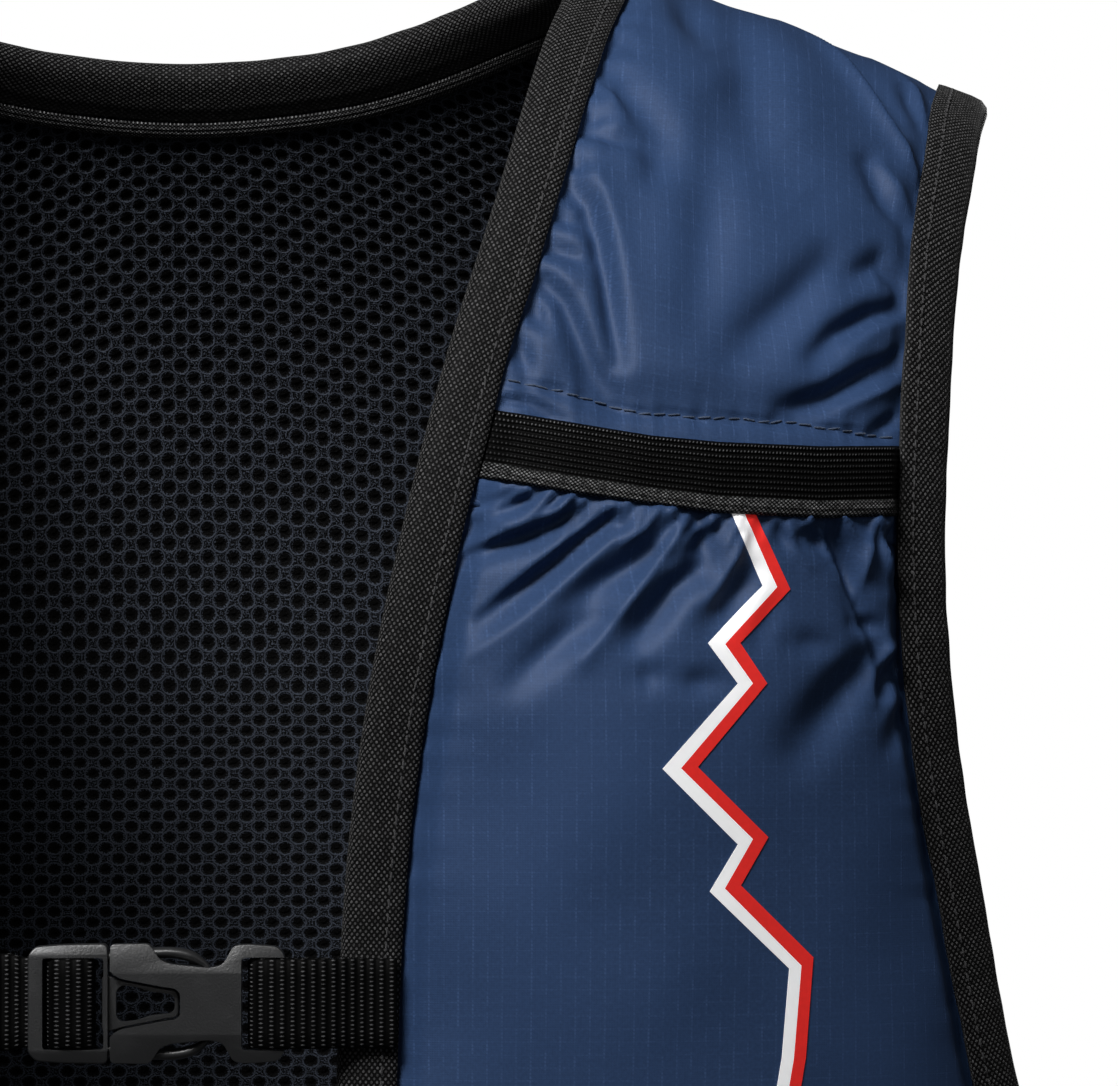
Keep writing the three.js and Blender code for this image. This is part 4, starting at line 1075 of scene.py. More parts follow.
def panel_heights(points, level, run, back):
    x, z = lifted_places(points, 5.0)
    seam = band_height(x, 3)
    edge = np.minimum(run, back)
    clear, clear_folds = smooth((edge - 3.4) / 5), smooth((edge - 3.2) / 2.4)
    near_crest = 1 - smooth((level - 122) / 66)
    body = 3.6 * crown((run - 3.5) / (run + back - 7)) * near_crest
    above = smooth((z - seam - 0.2) / 9)
    below = smooth((seam - z - 0.2) / 3)
    folds = 1.5 * fold_heights(x, z, SHOULDER_FOLDS) * clear_folds
    folds = folds * (1 - 0.85 * smooth((level - 138) / 28))
    swell = 0.3 * drift(x, z, 11, 34)
    pucker = 0.5 * ripple(level, 3, 7.5) * np.exp(-np.maximum(run - 4, 0) / 3.6)
    pucker += 0.5 * ripple(level, 4, 8.5) * np.exp(-np.maximum(back - 4, 0) / 3.6)
    stitch_pucker = 0.4 * ripple(x, 5, 4.5) * np.exp(-np.abs(z - seam) / 2.2)
    seam_dip = -0.9 * np.exp(-((z - seam) / 0.65) ** 2)
    crest = -1.0 * np.exp(-((level - PANEL_TOP) / 2.2) ** 2)
    lifted = 4.4 + body * (0.35 + 0.65 * above) + 0.7 * below * (z > seam - 6)
    free = lifted + swell + stitch_pucker + seam_dip
    edge_pucker = pucker * smooth((edge - 3) / 2) * (1 - 0.7 * smooth((level - 100) / 60))
    return above_lining(mix(3.8 + 0 * x, free, clear) + folds + edge_pucker + crest)


def pocket_gathers(seed):
    rng = np.random.default_rng(seed)
    places, turns = (58, 75, 92, 104, 112, 122, 134), (-62, -56, -46, -26, 0, 24, 34)
    lean = lambda x: math.radians(np.interp(x, places, turns))
    low = lambda x: float(band_height(x, 2))
    return gathers(rng, 57, 137, low, lean, 1.45, 11)


def pocket_heights(points, level, run, back):
    top = level_at(points[..., 0], band_height(points[..., 0], 2))
    x, z = lifted_places(points, 9.0)
    v = np.clip((level + 214.1) / (top + 214.1), 0, 1)
    width = run + back
    edge = np.minimum(run, back)
    hem = smooth((level + 214.6) / 6)
    clear, clear_folds = smooth((edge - 3.4) / 5) * hem, smooth((edge - 3.2) / 2.4) * hem
    body = crown((run - 3.6) / (width - 7.2)) * bulge_along(v, 7, 10, 8)
    body = body + mix(4.4, 6, smooth((v - 0.8) / 0.2))
    shelf = 2.6 * (1 - smooth((z + 122) / 38)) * smooth((z + 215) / 80)
    shelf = shelf * smooth((x - 40) / 14) * (1 - 0.6 * smooth((x - 84) / 30))
    near_band = np.exp(-np.maximum(band_height(x, 2) - z, 0) / 30)
    stripe = np.interp(-z, [-m[1] for _, m, _ in ZIGZAG], [m[0] for _, m, _ in ZIGZAG])
    calm = 1 - 0.5 * np.exp(-((x - stripe) / 5) ** 2)
    folds = 1.35 * fold_heights(x, z, POCKET_FOLDS + pocket_gathers(21)) * clear_folds * calm
    swell = 0.4 * drift(x, z, 12, 40) * smooth((-z - 84) / 20)
    pucker = (0.4 + 0.45 * near_band) * ripple(level, 6, 5.5) * np.exp(-np.maximum(run - 4, 0) / 3.2)
    pucker += (0.4 + 0.45 * near_band) * ripple(level, 7, 6.5) * np.exp(-np.maximum(back - 4, 0) / 3.5)
    under_band = -0.9 * smooth((z - band_height(x, 2) - 0.2) / 1.2)
    untaped = 1 - smooth((level + 102) / 10)
    low = 3.3 + 0.4 * untaped * smooth((level + 218) / 8) * (back < run)
    free = body + shelf + swell + under_band
    return above_lining(mix(low, free, clear) + folds + pucker * hem * smooth((edge - 3) / 2))


def make_shoulder(side, name, material):
    base = np.linspace(0, 1, 178 if side > 0 else 124)
    us = np.linspace(0, 1, 110 if side > 0 else 84)

    def rows(x):
        low = level_at(x, band_height(x, 2) - 5)
        return low + (PANEL_TOP - low) * base[:, None]
    front_sheet(f"{name}_shoulder_ripstop", side, material, us, rows, panel_heights, RIPSTOP_WALL,
                "stretched", f"{name}_shoulder_panel")


def make_pocket(side, name, material):
    fine = 1 if side > 0 else 0.72
    lower, upper = np.linspace(CLOTH_HEM, -34, int(88 * fine)), np.linspace(0, 1, int(108 * fine))[1:]
    fixed = np.concatenate([lower, np.full(len(upper), -34.0)])[:, None]
    share = np.concatenate([0 * lower, upper])[:, None]

    def rows(x):
        return fixed + share * (level_at(x, band_height(x, 2) + 3.5) + 34)
    us = np.linspace(0, 1, int(144 * fine))
    front_sheet(f"{name}_pocket_ripstop", side, material, us, rows, pocket_heights, RIPSTOP_WALL,
                "gathered", f"{name}_flask_pocket")


BAND_RIBS = 9


def band_relief(height, ribs, lip):
    """Ribs over a rounded lip; height runs from 0 to 1 up the band and lip is the lip's share of it."""
    waves = np.abs(np.sin(math.pi * ribs * np.clip((height - lip) / (1 - lip), 0, 1))) ** 0.8
    roll = np.sqrt(np.clip(1 - ((height - lip / 2) / (lip / 2 + 0.005)) ** 2, 0, 1))
    return 0.16 * waves + roll


def make_band(side, name, material):
    v = np.unique(np.concatenate([np.linspace(0, 0.24, 9), np.linspace(0.24, 1, BAND_RIBS * 6 + 1)]))

    def rows(x):
        low, high = level_at(x, band_height(x, 2)), level_at(x, band_height(x, 1))
        return low + (high - low) * v[:, None]

    def heights(points, level, run, back):
        width = run + back
        height = v[:, None] + 0 * run
        clear = smooth((np.minimum(run, back) - 3.2) / 5)
        ends = -0.5 * smooth((height - 0.97) / 0.03)
        free = 6.6 + 8 * crown((run - 3.6) / (width - 7.2)) + band_relief(height, BAND_RIBS, 0.24) + ends
        free += 0.12 * ripple(run, 9, 9)
        return mix(4.05 + 0 * run, free, clear)
    us = np.linspace(0, 1, 100)
    piece = front_sheet(f"{name}_elastic_band", side, material, us, rows, heights, BAND_WALL,
                        "stretched", f"{name}_pocket_elastic")
    run, _ = row_distance(front_points(us, rows)[0])
    along_across = np.stack([run, (v[:, None] + 0 * run) * 12.0], -1).reshape(-1, 2)
    set_uv(piece, np.vstack([along_across] * 2))
    return piece


def set_uv(piece, uv):
    mesh = piece.data
    loops = np.zeros(len(mesh.loops), np.int32)
    mesh.loops.foreach_get("vertex_index", loops)
    mesh.uv_layers["Cloth"].data.foreach_set("uv", uv[loops].astype(np.float32).ravel())


# Tapes: rows of distance from the free edge and height over the torso, round the folded tape
TAPE_SECTION = np.array([
    (10.4, 4.95), (9.2, 5.1), (7, 5.15), (4, 5.2), (2, 5.0), (0.6, 4.1), (0, 2.7), (0, 1.5), (0.6, 0.2),
    (2, -0.7), (4, -0.9), (7, -0.85), (10.4, -0.7), (10.4, 0.0), (7, -0.05), (4, 0), (2.2, 0.3),
    (1.2, 1.4), (1.2, 2.8), (2.2, 3.9), (4, 4.3), (7, 4.35), (10.4, 4.25),
])


def make_tape(name, at, indices, spacing, closed, material, node, seed):
    """A tape folded over an edge; at gives the torso's point for an index and a distance."""
    along = np.arange(len(indices)) * spacing
    wander = 0.16 * ripple(along, seed, 26)
    swell = 0.12 * ripple(along, seed + 1, 9) + 0.1 * ripple(along, seed + 2, 30)
    rows = []
    for distance, height in TAPE_SECTION:
        reach = distance + wander * (distance > 5)
        p = at(indices, reach)
        lift = swell if height > 2 else -0.5 * swell
        rows.append(p + outward(p) * (height + lift)[:, None])
    points = np.stack(rows, axis=1)
    count = len(TAPE_SECTION)
    faces = [grid_faces(len(indices), count, wrap_rows=closed, wrap_columns=True)]
    if not closed:
        last = (len(indices) - 1) * count
        half = count // 2
        for i in range(half):
            a, b, c, d = i, i + 1, count - 2 - i, count - 1 - i
            cap = np.array([[a, d, c, b]] if b < c else [[a, d, b]])
            if b <= c:
                faces += [cap, cap[:, ::-1] + last]
    uv = tube_uv(along, run_along(TAPE_SECTION))
    return add_piece(name, points.reshape(-1, 3), faces, material, [node], uv)


def stitch_template():
    """Points and faces of one stitch: a short rounded thread."""
    ring = np.array([(math.cos(a), math.sin(a)) for a in np.linspace(0, 2 * math.pi, 6, endpoint=False)])
    points = [(-0.5, 0, 0)]
    for along, fat in ((-0.4, 0.75), (0, 1.0), (0.4, 0.75)):
        points += [(along, fat * b, fat * c) for b, c in ring]
    points.append((0.5, 0, 0))
    faces = []
    for i in range(6):
        j = (i + 1) % 6
        faces.append((0, 1 + j, 1 + i, 1 + i))
        for k in (1, 7):
            faces.append((k + i, k + j, k + 6 + j, k + 6 + i))
        faces.append((13 + i, 13 + j, 19, 19))
    return np.array(points, float), faces


def make_stitches(name, line, normals, pitch, length, radius, material, seed):
    """A running stitch along a line that lies on the cloth."""
    run = run_along(line)
    where = np.arange(pitch, run[-1] - pitch, pitch)
    take = lambda values, at: np.stack([np.interp(at, run, values[:, a]) for a in range(3)], 1)
    rng = np.random.default_rng(seed)
    where = where + rng.normal(0, pitch * 0.04, len(where))
    centre, ahead, behind = take(line, where), take(line, where + 0.6), take(line, where - 0.6)
    up = unit(take(normals, where))
    along = unit(ahead - behind)
    side = unit(np.cross(up, along))
    skew = rng.normal(0.1, 0.05, len(where))[:, None]
    along = unit(along + side * skew)
    side = unit(np.cross(up, along))
    shape, shape_faces = stitch_template()
    pieces = centre[:, None] + along[:, None] * (shape[:, 0] * length)[None, :, None]
    pieces = pieces + side[:, None] * (shape[:, 1] * radius)[None, :, None]
    pieces = pieces + up[:, None] * (shape[:, 2] * radius)[None, :, None]
    n = len(shape)
    quads = np.array([f for f in shape_faces if f[2] != f[3]])
    tris = np.array([f[:3] for f in shape_faces if f[2] == f[3]])
    shift = (np.arange(len(where)) * n)[:, None, None]
    faces = [(quads[None] + shift).reshape(-1, 4), (tris[None] + shift).reshape(-1, 3)]
    return add_piece(name, pieces.reshape(-1, 3), faces, material)


def make_perforated(name, place, inside, u_range, v_range, material, nodes):
    """Spacer mesh: a sheet with holes sunk into its inner face, which is seen. place gives the torso's
    point for a place of the cloth in millimetres, and inside says which holes lie on the cloth."""
    across, up, wall, sink = HOLE_ACROSS, HOLE_UP, 1.9, 1.7
    rows = np.arange(math.floor(v_range[0] / up), math.ceil(v_range[1] / up) + 1)
    columns = np.arange(math.floor(u_range[0] / across) - 1, math.ceil(u_range[1] / across) + 1)
    jj, ii = np.meshgrid(rows, columns, indexing="ij")
    centre = np.stack([(ii + (jj % 2) * 0.5) * across, jj * up], -1).reshape(-1, 2)
    centre = centre[inside(centre[:, 0], centre[:, 1])]
    border = np.array([(1, 0), (0, 1), (-1, 0), (0, -1)]) * (across / 2, up)
    ring = np.array([(math.cos(a), math.sin(a)) for a in np.arange(8) * math.pi / 4]) * HOLE_HALF
    n = len(centre)
    stretch = 1 + np.random.default_rng(5).normal(0, 0.05, (n, 1, 2))
    still = np.zeros((n, 1, 1))
    cells = []
    bottom = 0 * ring[:1] + still
    edge = border + still
    for shape, height in ((edge, 0.0), (ring * stretch, 0.0), (bottom, sink), (edge, wall)):
        flat = centre[:, None] + shape
        p = place(flat[..., 0], flat[..., 1])
        cells.append((p + outward(p) * height, flat))
    points = np.concatenate([c[0] for c in cells], axis=1).reshape(-1, 3)
    flat = np.concatenate([c[1] for c in cells], axis=1).reshape(-1, 2)
    depth = np.tile([0.0] * 4 + [0.1] * 8 + [1.0] + [0.6] * 4, n)
    layer = np.tile([0] * 4 + [1] * 8 + [2] + [3] * 4, n)
    # One cell: four sides of the border, the ring of the hole, its deepest point and the other face
    cell = []
    for s in range(4):
        here, there, first = s, (s + 1) % 4, 4 + 2 * s
        middle, last = first + 1, 4 + (2 * s + 2) % 8
        cell += [(here, there, middle), (here, middle, first), (there, last, middle)]
        cell += [(first, middle, 12), (middle, last, 12)]
    # Corners that neighbouring cells share are joined before the rim's wall is made
    key = np.round(np.concatenate([flat * 50, layer[:, None]], 1)).astype(np.int64)
    _, first, joined = np.unique(key, axis=0, return_index=True, return_inverse=True)
    joined = joined.ravel().reshape(n, 17)
    points, flat, depth = points[first], flat[first], depth[first]
    front = np.stack([joined[:, :4], joined[:, [1, 2, 3, 0]]], -1).reshape(-1, 2)
    back = np.stack([joined[:, 13:], joined[:, [14, 15, 16, 13]]], -1).reshape(-1, 2)
    size = len(points)
    rim = ~np.isin(front[:, 0] * size + front[:, 1], front[:, 1] * size + front[:, 0])
    walls = np.stack([front[rim, 1], front[rim, 0], back[rim, 0], back[rim, 1]], -1)
    faces = [joined[:, np.array(cell)].reshape(-1, 3), joined[:, [16, 15, 14, 13]], walls]
    piece = add_piece(name, points, faces, material, nodes, flat)
    attribute = piece.data.attributes.new("Depth", "FLOAT", "POINT")
    attribute.data.foreach_set("value", depth.astype(np.float32))


def arc_to_angle(u):
    return np.interp(u, SECTION_ARC, SECTION_ANGLES)


HALF_ARC = float(np.interp(math.pi, SECTION_ANGLES, SECTION_ARC))


def back_place(u, v):
    """u is round the body from the front's middle, v the level."""
    angle = arc_to_angle(u)
    x = at_angle(angle, ARCH_Z)[..., 0]
    upper = at_level(x, np.minimum(v, BACK_START))
    lower = at_angle(angle, ARCH_Z - np.maximum(v - BACK_START, 0))
    return np.where((v > BACK_START)[..., None], lower, upper)


def make_back_mesh(side, name, material):
    seam_arc = float(np.interp(BACK_SEAM_ANGLE, SECTION_ANGLES, SECTION_ARC))

    def inside(u, v):
        mirrored = np.where(u > HALF_ARC, 2 * HALF_ARC - u, u)
        p = back_place(mirrored, v)
        keep = (v > SEAM_LEVEL - 1.0) & (p[:, 2] > HEM_Z + 7.4)
        keep &= (u <= HALF_ARC - 0.01) if side > 0 else (u > HALF_ARC - 0.01)
        keep &= mirrored > seam_arc + 0.8
        keep[keep] &= neck.apart(p[keep]) > 7.4
        keep[keep] &= armhole.apart(p[keep]) > 7.4
        return keep
    u_range = (seam_arc, HALF_ARC + 3) if side > 0 else (HALF_ARC - 3, 2 * HALF_ARC - seam_arc)
    make_perforated(f"{name}_back_spacer", back_place, inside, u_range, (190, 590), material, ["back_mesh"])


# Operators

def sizes():
    return bpy.context.scene.vest_sizes


def colours():
    return bpy.context.scene.vest_colours


SIDES = ((1, "left"), (-1, "right"))


class VestSizes(bpy.types.PropertyGroup):
    stitch_pitch: bpy.props.FloatProperty(
        name="Stitch pitch", description="Length of thread from one stitch to the next",
        default=0.0024, min=0.001, unit="LENGTH")
    stitch_thread: bpy.props.FloatProperty(
        name="Thread", description="Thickness of the sewing thread", default=0.0004, min=0.0001,
        unit="LENGTH")


def colour_property(name, description, default):
    return bpy.props.FloatVectorProperty(
        name=name, description=description, subtype="COLOR", default=default, min=0, max=1)


class VestColours(bpy.types.PropertyGroup):
    ripstop: colour_property("Ripstop", "Colour of the ripstop cloth", (0.025, 0.052, 0.124))
    tape: colour_property("Tape", "Colour of the edge tape", (0.012, 0.0118, 0.012))
    elastic: colour_property("Elastic", "Colour of the elastic bands", (0.009, 0.009, 0.0092))
    mesh: colour_property("Mesh", "Colour of the spacer mesh", (0.018, 0.021, 0.028))
    plastic: colour_property("Plastic", "Colour of the buckle", (0.019, 0.0195, 0.0205))
    stripe_light: colour_property("Light stripe", "Left half of the zigzag stripe", (0.95, 0.95, 0.96))
    stripe_bright: colour_property("Bright stripe", "Right half of the zigzag stripe", (0.72, 0.022, 0.018))


class VEST_OT_linings(bpy.types.Operator):
    """Adds the spacer mesh linings of the fronts, the back and the sides"""
    bl_idname = "vest.linings"
    bl_label = "Mesh Linings"

    def execute(self, context):
        holes = spacer_material(colours(), drawn_holes=False)
        drawn = spacer_material(colours(), drawn_holes=True)
        for side, name in SIDES:
            make_front_lining(side, name, drawn)
            make_back_mesh(side, name, holes)
            make_side(side, name, drawn)
        return {"FINISHED"}


def make_side(side, name, material):
    """A side panel between the seams, from the hem up to the armhole's tape."""
    t = np.linspace(0, 1, 50)
    top = armhole.at(mix(FRONT_SEAM, BACK_SEAM, t), TUCK + 0 * t)
    rise = np.linspace(0, 1, 40)[:, None]
    z = mix(HEM_Z + TUCK, top[None, :, 2], rise)
    angle = mix(FRONT_SEAM_ANGLE, BACK_SEAM_ANGLE, t)
    angle = mix(angle, angle_of(top), smooth(rise * 2))
    points = at_angle(angle, z)
    normals = outward(points)
    uv = np.stack([np.interp(angle_of(points), SECTION_ANGLES, SECTION_ARC), z], -1).reshape(-1, 2)
    area = sheet_area(points)
    if side < 0:
        points, normals = points * (-1, 1, 1), normals * (-1, 1, 1)
    made, faces = shell(points, normals, 0 * z, MESH_WALL + 0 * z)
    piece = add_piece(f"{name}_side_spacer", made, faces, material, [f"{name}_side_mesh"],
                      np.vstack([uv] * 2))
    declare_sheet(points, area, "stretched")


def seam_strip(name, line, half, under, over, material):
    """A narrow woven strip that covers the raw edges of two cloths along a line on the torso."""
    normals = outward(line)
    side = unit(np.cross(normals, unit(np.gradient(line, axis=0))))
    section = [(-1, 0.5), (-0.9, 0.85), (-0.5, 1), (0, 1), (0.5, 1), (0.9, 0.85), (1, 0.5),
               (0.9, 0.15), (0.5, 0), (0, 0), (-0.5, 0), (-0.9, 0.15)]
    rows = []
    for across, share in section:
        p = settle(line + side * (across * half))
        rows.append(p + outward(p) * mix(under, over, share))
    points = np.stack(rows, 1)
    n = len(section)
    last = (len(line) - 1) * n
    ring = np.arange(n)[None]
    faces = [grid_faces(len(line), n, wrap_columns=True), ring[:, ::-1], ring + last]
    uv = tube_uv(run_along(line), [across * half for across, _ in section])
    return add_piece(name, points.reshape(-1, 3), faces, material, uv=uv)


class VEST_OT_joins(bpy.types.Operator):
    """Adds the woven strips over the side seams and inside the shoulder seams"""
    bl_idname = "vest.joins"
    bl_label = "Seam Strips"

    def execute(self, context):
        tape = tape_material(colours())
        z = np.linspace(HEM_Z + 4.5, ARCH_Z + SIDE_SEAM_LEVEL + 3.5, 80)
        for side, name in SIDES:
            for label, angle in (("front", FRONT_SEAM_ANGLE), ("back", BACK_SEAM_ANGLE)):
                line = at_angle(angle * side, z)
                seam_strip(f"{name}_{label}_side_seam", line, 3.6, -0.5, 3.1, tape)
            first = neck.at(neck_index(SEAM_LEVEL, CUT), np.asarray(TUCK))[0]
            last = armhole.at(armhole_index(SEAM_LEVEL, CUT), np.asarray(TUCK))[0]
            line = at_level(np.linspace(first, last, 60) * side, SEAM_LEVEL)
            seam_strip(f"{name}_shoulder_seam", line, 4.2, -0.7, 0.5, tape)
        return {"FINISHED"}


class VEST_OT_ripstop(bpy.types.Operator):
    """Adds the ripstop shoulder panels and flask pockets"""
    bl_idname = "vest.ripstop"
    bl_label = "Ripstop Fronts"

    def execute(self, context):
        cloth = ripstop_material(colours())
        for side, name in SIDES:
            make_shoulder(side, name, cloth)
            make_pocket(side, name, cloth)
        return {"FINISHED"}


def back_sheet(name, columns, rows, heights, wall, material, held, node, along=False):
    points, level = back_points(columns, rows)
    normals = outward(points)
    run, back = row_distance(points)
    outer = heights(points, level, run, back)
    uv = cloth_uv(points, level)
    if along:
        climb = np.linalg.norm(np.diff(points, axis=0), axis=2)
        climb = np.concatenate([np.zeros((1, climb.shape[1])), np.cumsum(climb, axis=0)])
        uv = np.stack([run, climb], -1)
    area = sheet_area(points + normals * outer[..., None])
    made, faces = shell(points, normals, outer - wall, outer)
    piece = add_piece(name, made, faces, material, [node], np.vstack([uv.reshape(-1, 2)] * 2))
    declare_sheet(points, area, held)
    return piece


BACK_GATHER_SEED = 33


class VEST_OT_back(bpy.types.Operator):
    """Adds the back yoke, the reservoir pocket and its elastic band"""
    bl_idname = "vest.back"
    bl_label = "Back"

    def execute(self, context):
        cloth = ripstop_material(colours())
        columns = np.linspace(-1, 1, 124)
        top = lambda share: level_of(top_of_back(share.ravel()))[None, :] + 0 * share

        def yoke_rows(share):
            t = np.linspace(0.16, 1, 90)[:, None]
            return mix(UPPER_BACK, top(share), t)

        def yoke_heights(points, level, run, back):
            x, z = points[..., 0], points[..., 2]
            steps = np.linalg.norm(np.diff(points[::-1], axis=0, prepend=points[-1:]), axis=2)
            from_top = np.cumsum(steps, axis=0)[::-1]
            at_neck = np.abs(np.linspace(-1, 1, x.shape[1]))[None, :] <= CORNER
            edge = np.minimum(np.minimum(run, back), np.where(at_neck, from_top, 50))
            clear = smooth((edge - 3.6) / 6)
            crest = -1.0 * np.exp(-(np.where(at_neck, 50, level - 192.2) / 2.2) ** 2)
            swell = 0.5 * drift(x, z, 41, 60) * smooth(edge / 30)
            swell = swell + 0.12 * drift(x, z, 43, 22) * smooth(edge / 15)
            free = 4.6 + swell * (1 - smooth((205 - level) / 12))
            pucker = 0.4 * ripple(level, 44, 8) * np.exp(-np.maximum(edge - 4, 0) / 4)
            pucker = pucker * smooth((edge - 3) / 2.5)
            return mix(2.6 + 0 * x, free, clear) + crest + pucker
        back_sheet("back_yoke_ripstop", columns, yoke_rows, yoke_heights, RIPSTOP_WALL, cloth,
                   "stretched", "back_yoke")

        mouth = back_line(14 - 3.5)
        low = np.linspace(BACK_START - CLOTH_HEM, UPPER_BACK, 90)

        def pocket_rows(share):
            t = np.linspace(0, 1, 50)[1:, None]
            return np.concatenate([low[:, None] + 0 * share, mix(UPPER_BACK, mouth(share), t)])

        rng = np.random.default_rng(BACK_GATHER_SEED)
        hem_of_band = back_line(14)
        xs = np.linspace(-1, 1, 60)
        ref, _ = back_points(xs, hem_of_band)
        height_at = lambda x: float(np.interp(x, ref[0, :, 0], ref[0, :, 2]))
        lean = lambda x: math.radians(x * 0.22)
        folds = gathers(rng, -132, 132, height_at, lean, 2.6, 14)
        folds = folds + gathers(rng, -128, 130, height_at, lean, 9, 48)

        def pocket_heights_back(points, level, run, back):
            x, z = points[..., 0], points[..., 2]
            top_level = mouth(np.abs(columns)[None, :])
            v = np.clip((574.1 - level) / (574.1 - top_level - 3), 0, 1)
            width = run + back
            clear = smooth((np.minimum(run, back) - np.where(level > 455, 0.3, 3.6)) / 6)
            body = crown((run - 1) / (width - 2)) * bulge_along(v, 10, 16, 12)
            body += mix(4.4, 6, smooth((v / 0.88 - 0.7) / 0.3))
            wrinkles = fold_heights(x, z, folds)
            swell = 0.8 * drift(x, z, 51, 60) + 0.35 * drift(x, z, 52, 22)
            pucker = 0.5 * ripple(level, 53, 9) * np.exp(-np.maximum(np.minimum(run, back) - 3, 0) / 6)
            low_edge = 3.3 + 0 * x
            from_hem = BACK_START - CLOTH_HEM - level
            clear = clear * smooth((from_hem - 3.6) / 6)
            pucker = pucker * smooth(from_hem / 10) * smooth(np.minimum(run, back) / 3)
            return mix(low_edge, body + 2.4 * wrinkles + swell, clear) + pucker
        back_sheet("reservoir_ripstop", columns, pocket_rows, pocket_heights_back, RIPSTOP_WALL, cloth,
                   "gathered", "reservoir_pocket")

        elastic = ribbed_material("Elastic", colours().elastic, 0.62, 1.0, lip=2.8)
        v = np.unique(np.concatenate([np.linspace(0, 0.22, 7), np.linspace(0.22, 1, 56)]))
        band_low, band_high = back_line(14), back_line(0)

        def band_rows(share):
            a, b = band_low(share), band_high(share)
            return a + (b - a) * v[:, None]

        def band_heights(points, level, run, back):
            width = run + back
            height = v[:, None] + 0 * run
            clear = smooth((np.minimum(run, back) - 3.2) / 5)
            free = 6.6 + 12 * crown((run - 3.6) / (width - 7.2)) + band_relief(height, 11, 0.22)
            return mix(4.05 + 0 * run, free, clear)
        back_sheet("reservoir_band", columns, band_rows, band_heights, BAND_WALL, elastic,
                   "stretched", "reservoir_elastic", along=True)
        return {"FINISHED"}


class VEST_OT_bands(bpy.types.Operator):
    """Adds the elastic bands of the flask pockets"""
    bl_idname = "vest.bands"
    bl_label = "Pocket Bands"

    def execute(self, context):
        elastic = ribbed_material("Elastic", colours().elastic, 0.62, 1.0)
        for side, name in SIDES:
            make_band(side, name, elastic)
        return {"FINISHED"}


def neck_line(index, distance):
    p = neck.at(np.abs(index), distance)
    return p * np.stack([np.where(index < 0, -1.0, 1.0), 1 + 0 * index, 1 + 0 * index], -1)


def hem_line(angle, distance):
    return at_angle(angle, HEM_Z + distance)


def sew_tape(name, line, thread, seed):
    """A running stitch on a tape's face, over a line on the torso."""
    pitch, radius = sizes().stitch_pitch * 1000, sizes().stitch_thread * 500
    up = outward(line)
    make_stitches(name, line + up * TAPE_FACE, up, pitch, pitch * 0.72, radius, thread, seed)


class VEST_OT_tapes(bpy.types.Operator):
    """Adds the folded tapes and their running stitches"""
    bl_idname = "vest.tapes"
    bl_label = "Edge Tapes"

    def execute(self, context):
        tape = tape_material(colours())
        thread = thread_material("Tape thread", (0.035, 0.034, 0.036))
        count = int(2 * neck.count * neck.length / 1.6)
        index = np.linspace(-(neck.count - 1), neck.count - 1, count)
        spacing = 2 * neck.count * neck.length / count
        make_tape("neckline_tape", neck_line, index, spacing, False, tape, "neck_binding", 61)
        sew_tape("neckline_stitches", neck_line(index, STITCH_LINE + 0 * index), thread, 2)
        reach = float(neck_index(SEAM_LEVEL, CUT)) - 4
        behind = np.linspace(-reach, reach, 300)
        inner = neck_line(behind, 12.6 + 0 * behind)
        cord = ribbed_material("Elastic", colours().elastic, 0.62, 1.0, lip=2.8)
        seam_strip("neckline_lip", inner, 1.7, -1.15, -0.15, cord)
        for side, name in SIDES:
            count = int(armhole.count * armhole.length / 1.6)
            around = np.linspace(0, armhole.count, count, endpoint=False)
            place = (lambda i, d, side=side: armhole.at(i, d) * (side, 1, 1))
            make_tape(f"{name}_armhole_tape", place, around, 1.6, True, tape, f"{name}_armhole_binding", 71)
            sew_tape(f"{name}_armhole_stitches", place(around, STITCH_LINE + 0 * around), thread, 3)
        start = float(angle_of(on_torso(66.0, -345.0, -1))) + 0.004
        around = np.linspace(start, 2 * math.pi - start, 420)
        make_tape("hem_tape", hem_line, around, 2.1, False, tape, "hem_binding", 81)
        sew_tape("hem_stitches", hem_line(around, STITCH_LINE + 0 * around), thread, 4)
        return {"FINISHED"}


def webbing(name, path, node, material, spread=0.0):
    knots = np.array([(x, BUCKLE_Y + behind) for x, behind in path])
    count = int(np.linalg.norm(np.diff(knots, axis=0), axis=1).sum() / 0.3)
    line = spaced_points(knots, count)
    along = unit(np.gradient(line, axis=0))
    side = np.stack([-along[:, 1], along[:, 0]], -1)
    run = np.arange(len(line)) * 0.3
    wall = STRAP_WALL * (0.86 + 0.14 * np.abs(np.sin(math.pi * run / 1.75)))
    half = STRAP_WIDTH / 2
    face = [-half + 0.5, -half * 0.6, 0, half * 0.6, half - 0.5]
    section = [(across, 0.5) for across in face] + [(half, 0.2), (half, -0.2)]
    section += [(across, -0.5) for across in face[::-1]] + [(-half, -0.2), (-half, 0.2)]
    wide = 1 + spread * smooth((np.abs(line[:, 0]) - 21.5) / 3)
    rows = []
    for across, share in section:
        flat = line + side * (share * wall)[:, None]
        rows.append(np.stack([flat[:, 0], flat[:, 1], STRAP_Z + across * wide], -1))
    points = np.stack(rows, axis=1)
    n = len(section)
    faces = [grid_faces(len(line), n, wrap_columns=True)]
    last = (len(line) - 1) * n
    caps = np.array([(i, i + 1, n - 2 - i, n - 1 - i) for i in range(n // 2 - 1)])
    faces += [caps[:, ::-1], caps + last]
    uv = tube_uv(run, [across for across, _ in section])[:, ::-1]
    return add_piece(name, points.reshape(-1, 3), np.vstack(faces), material, [node], uv)


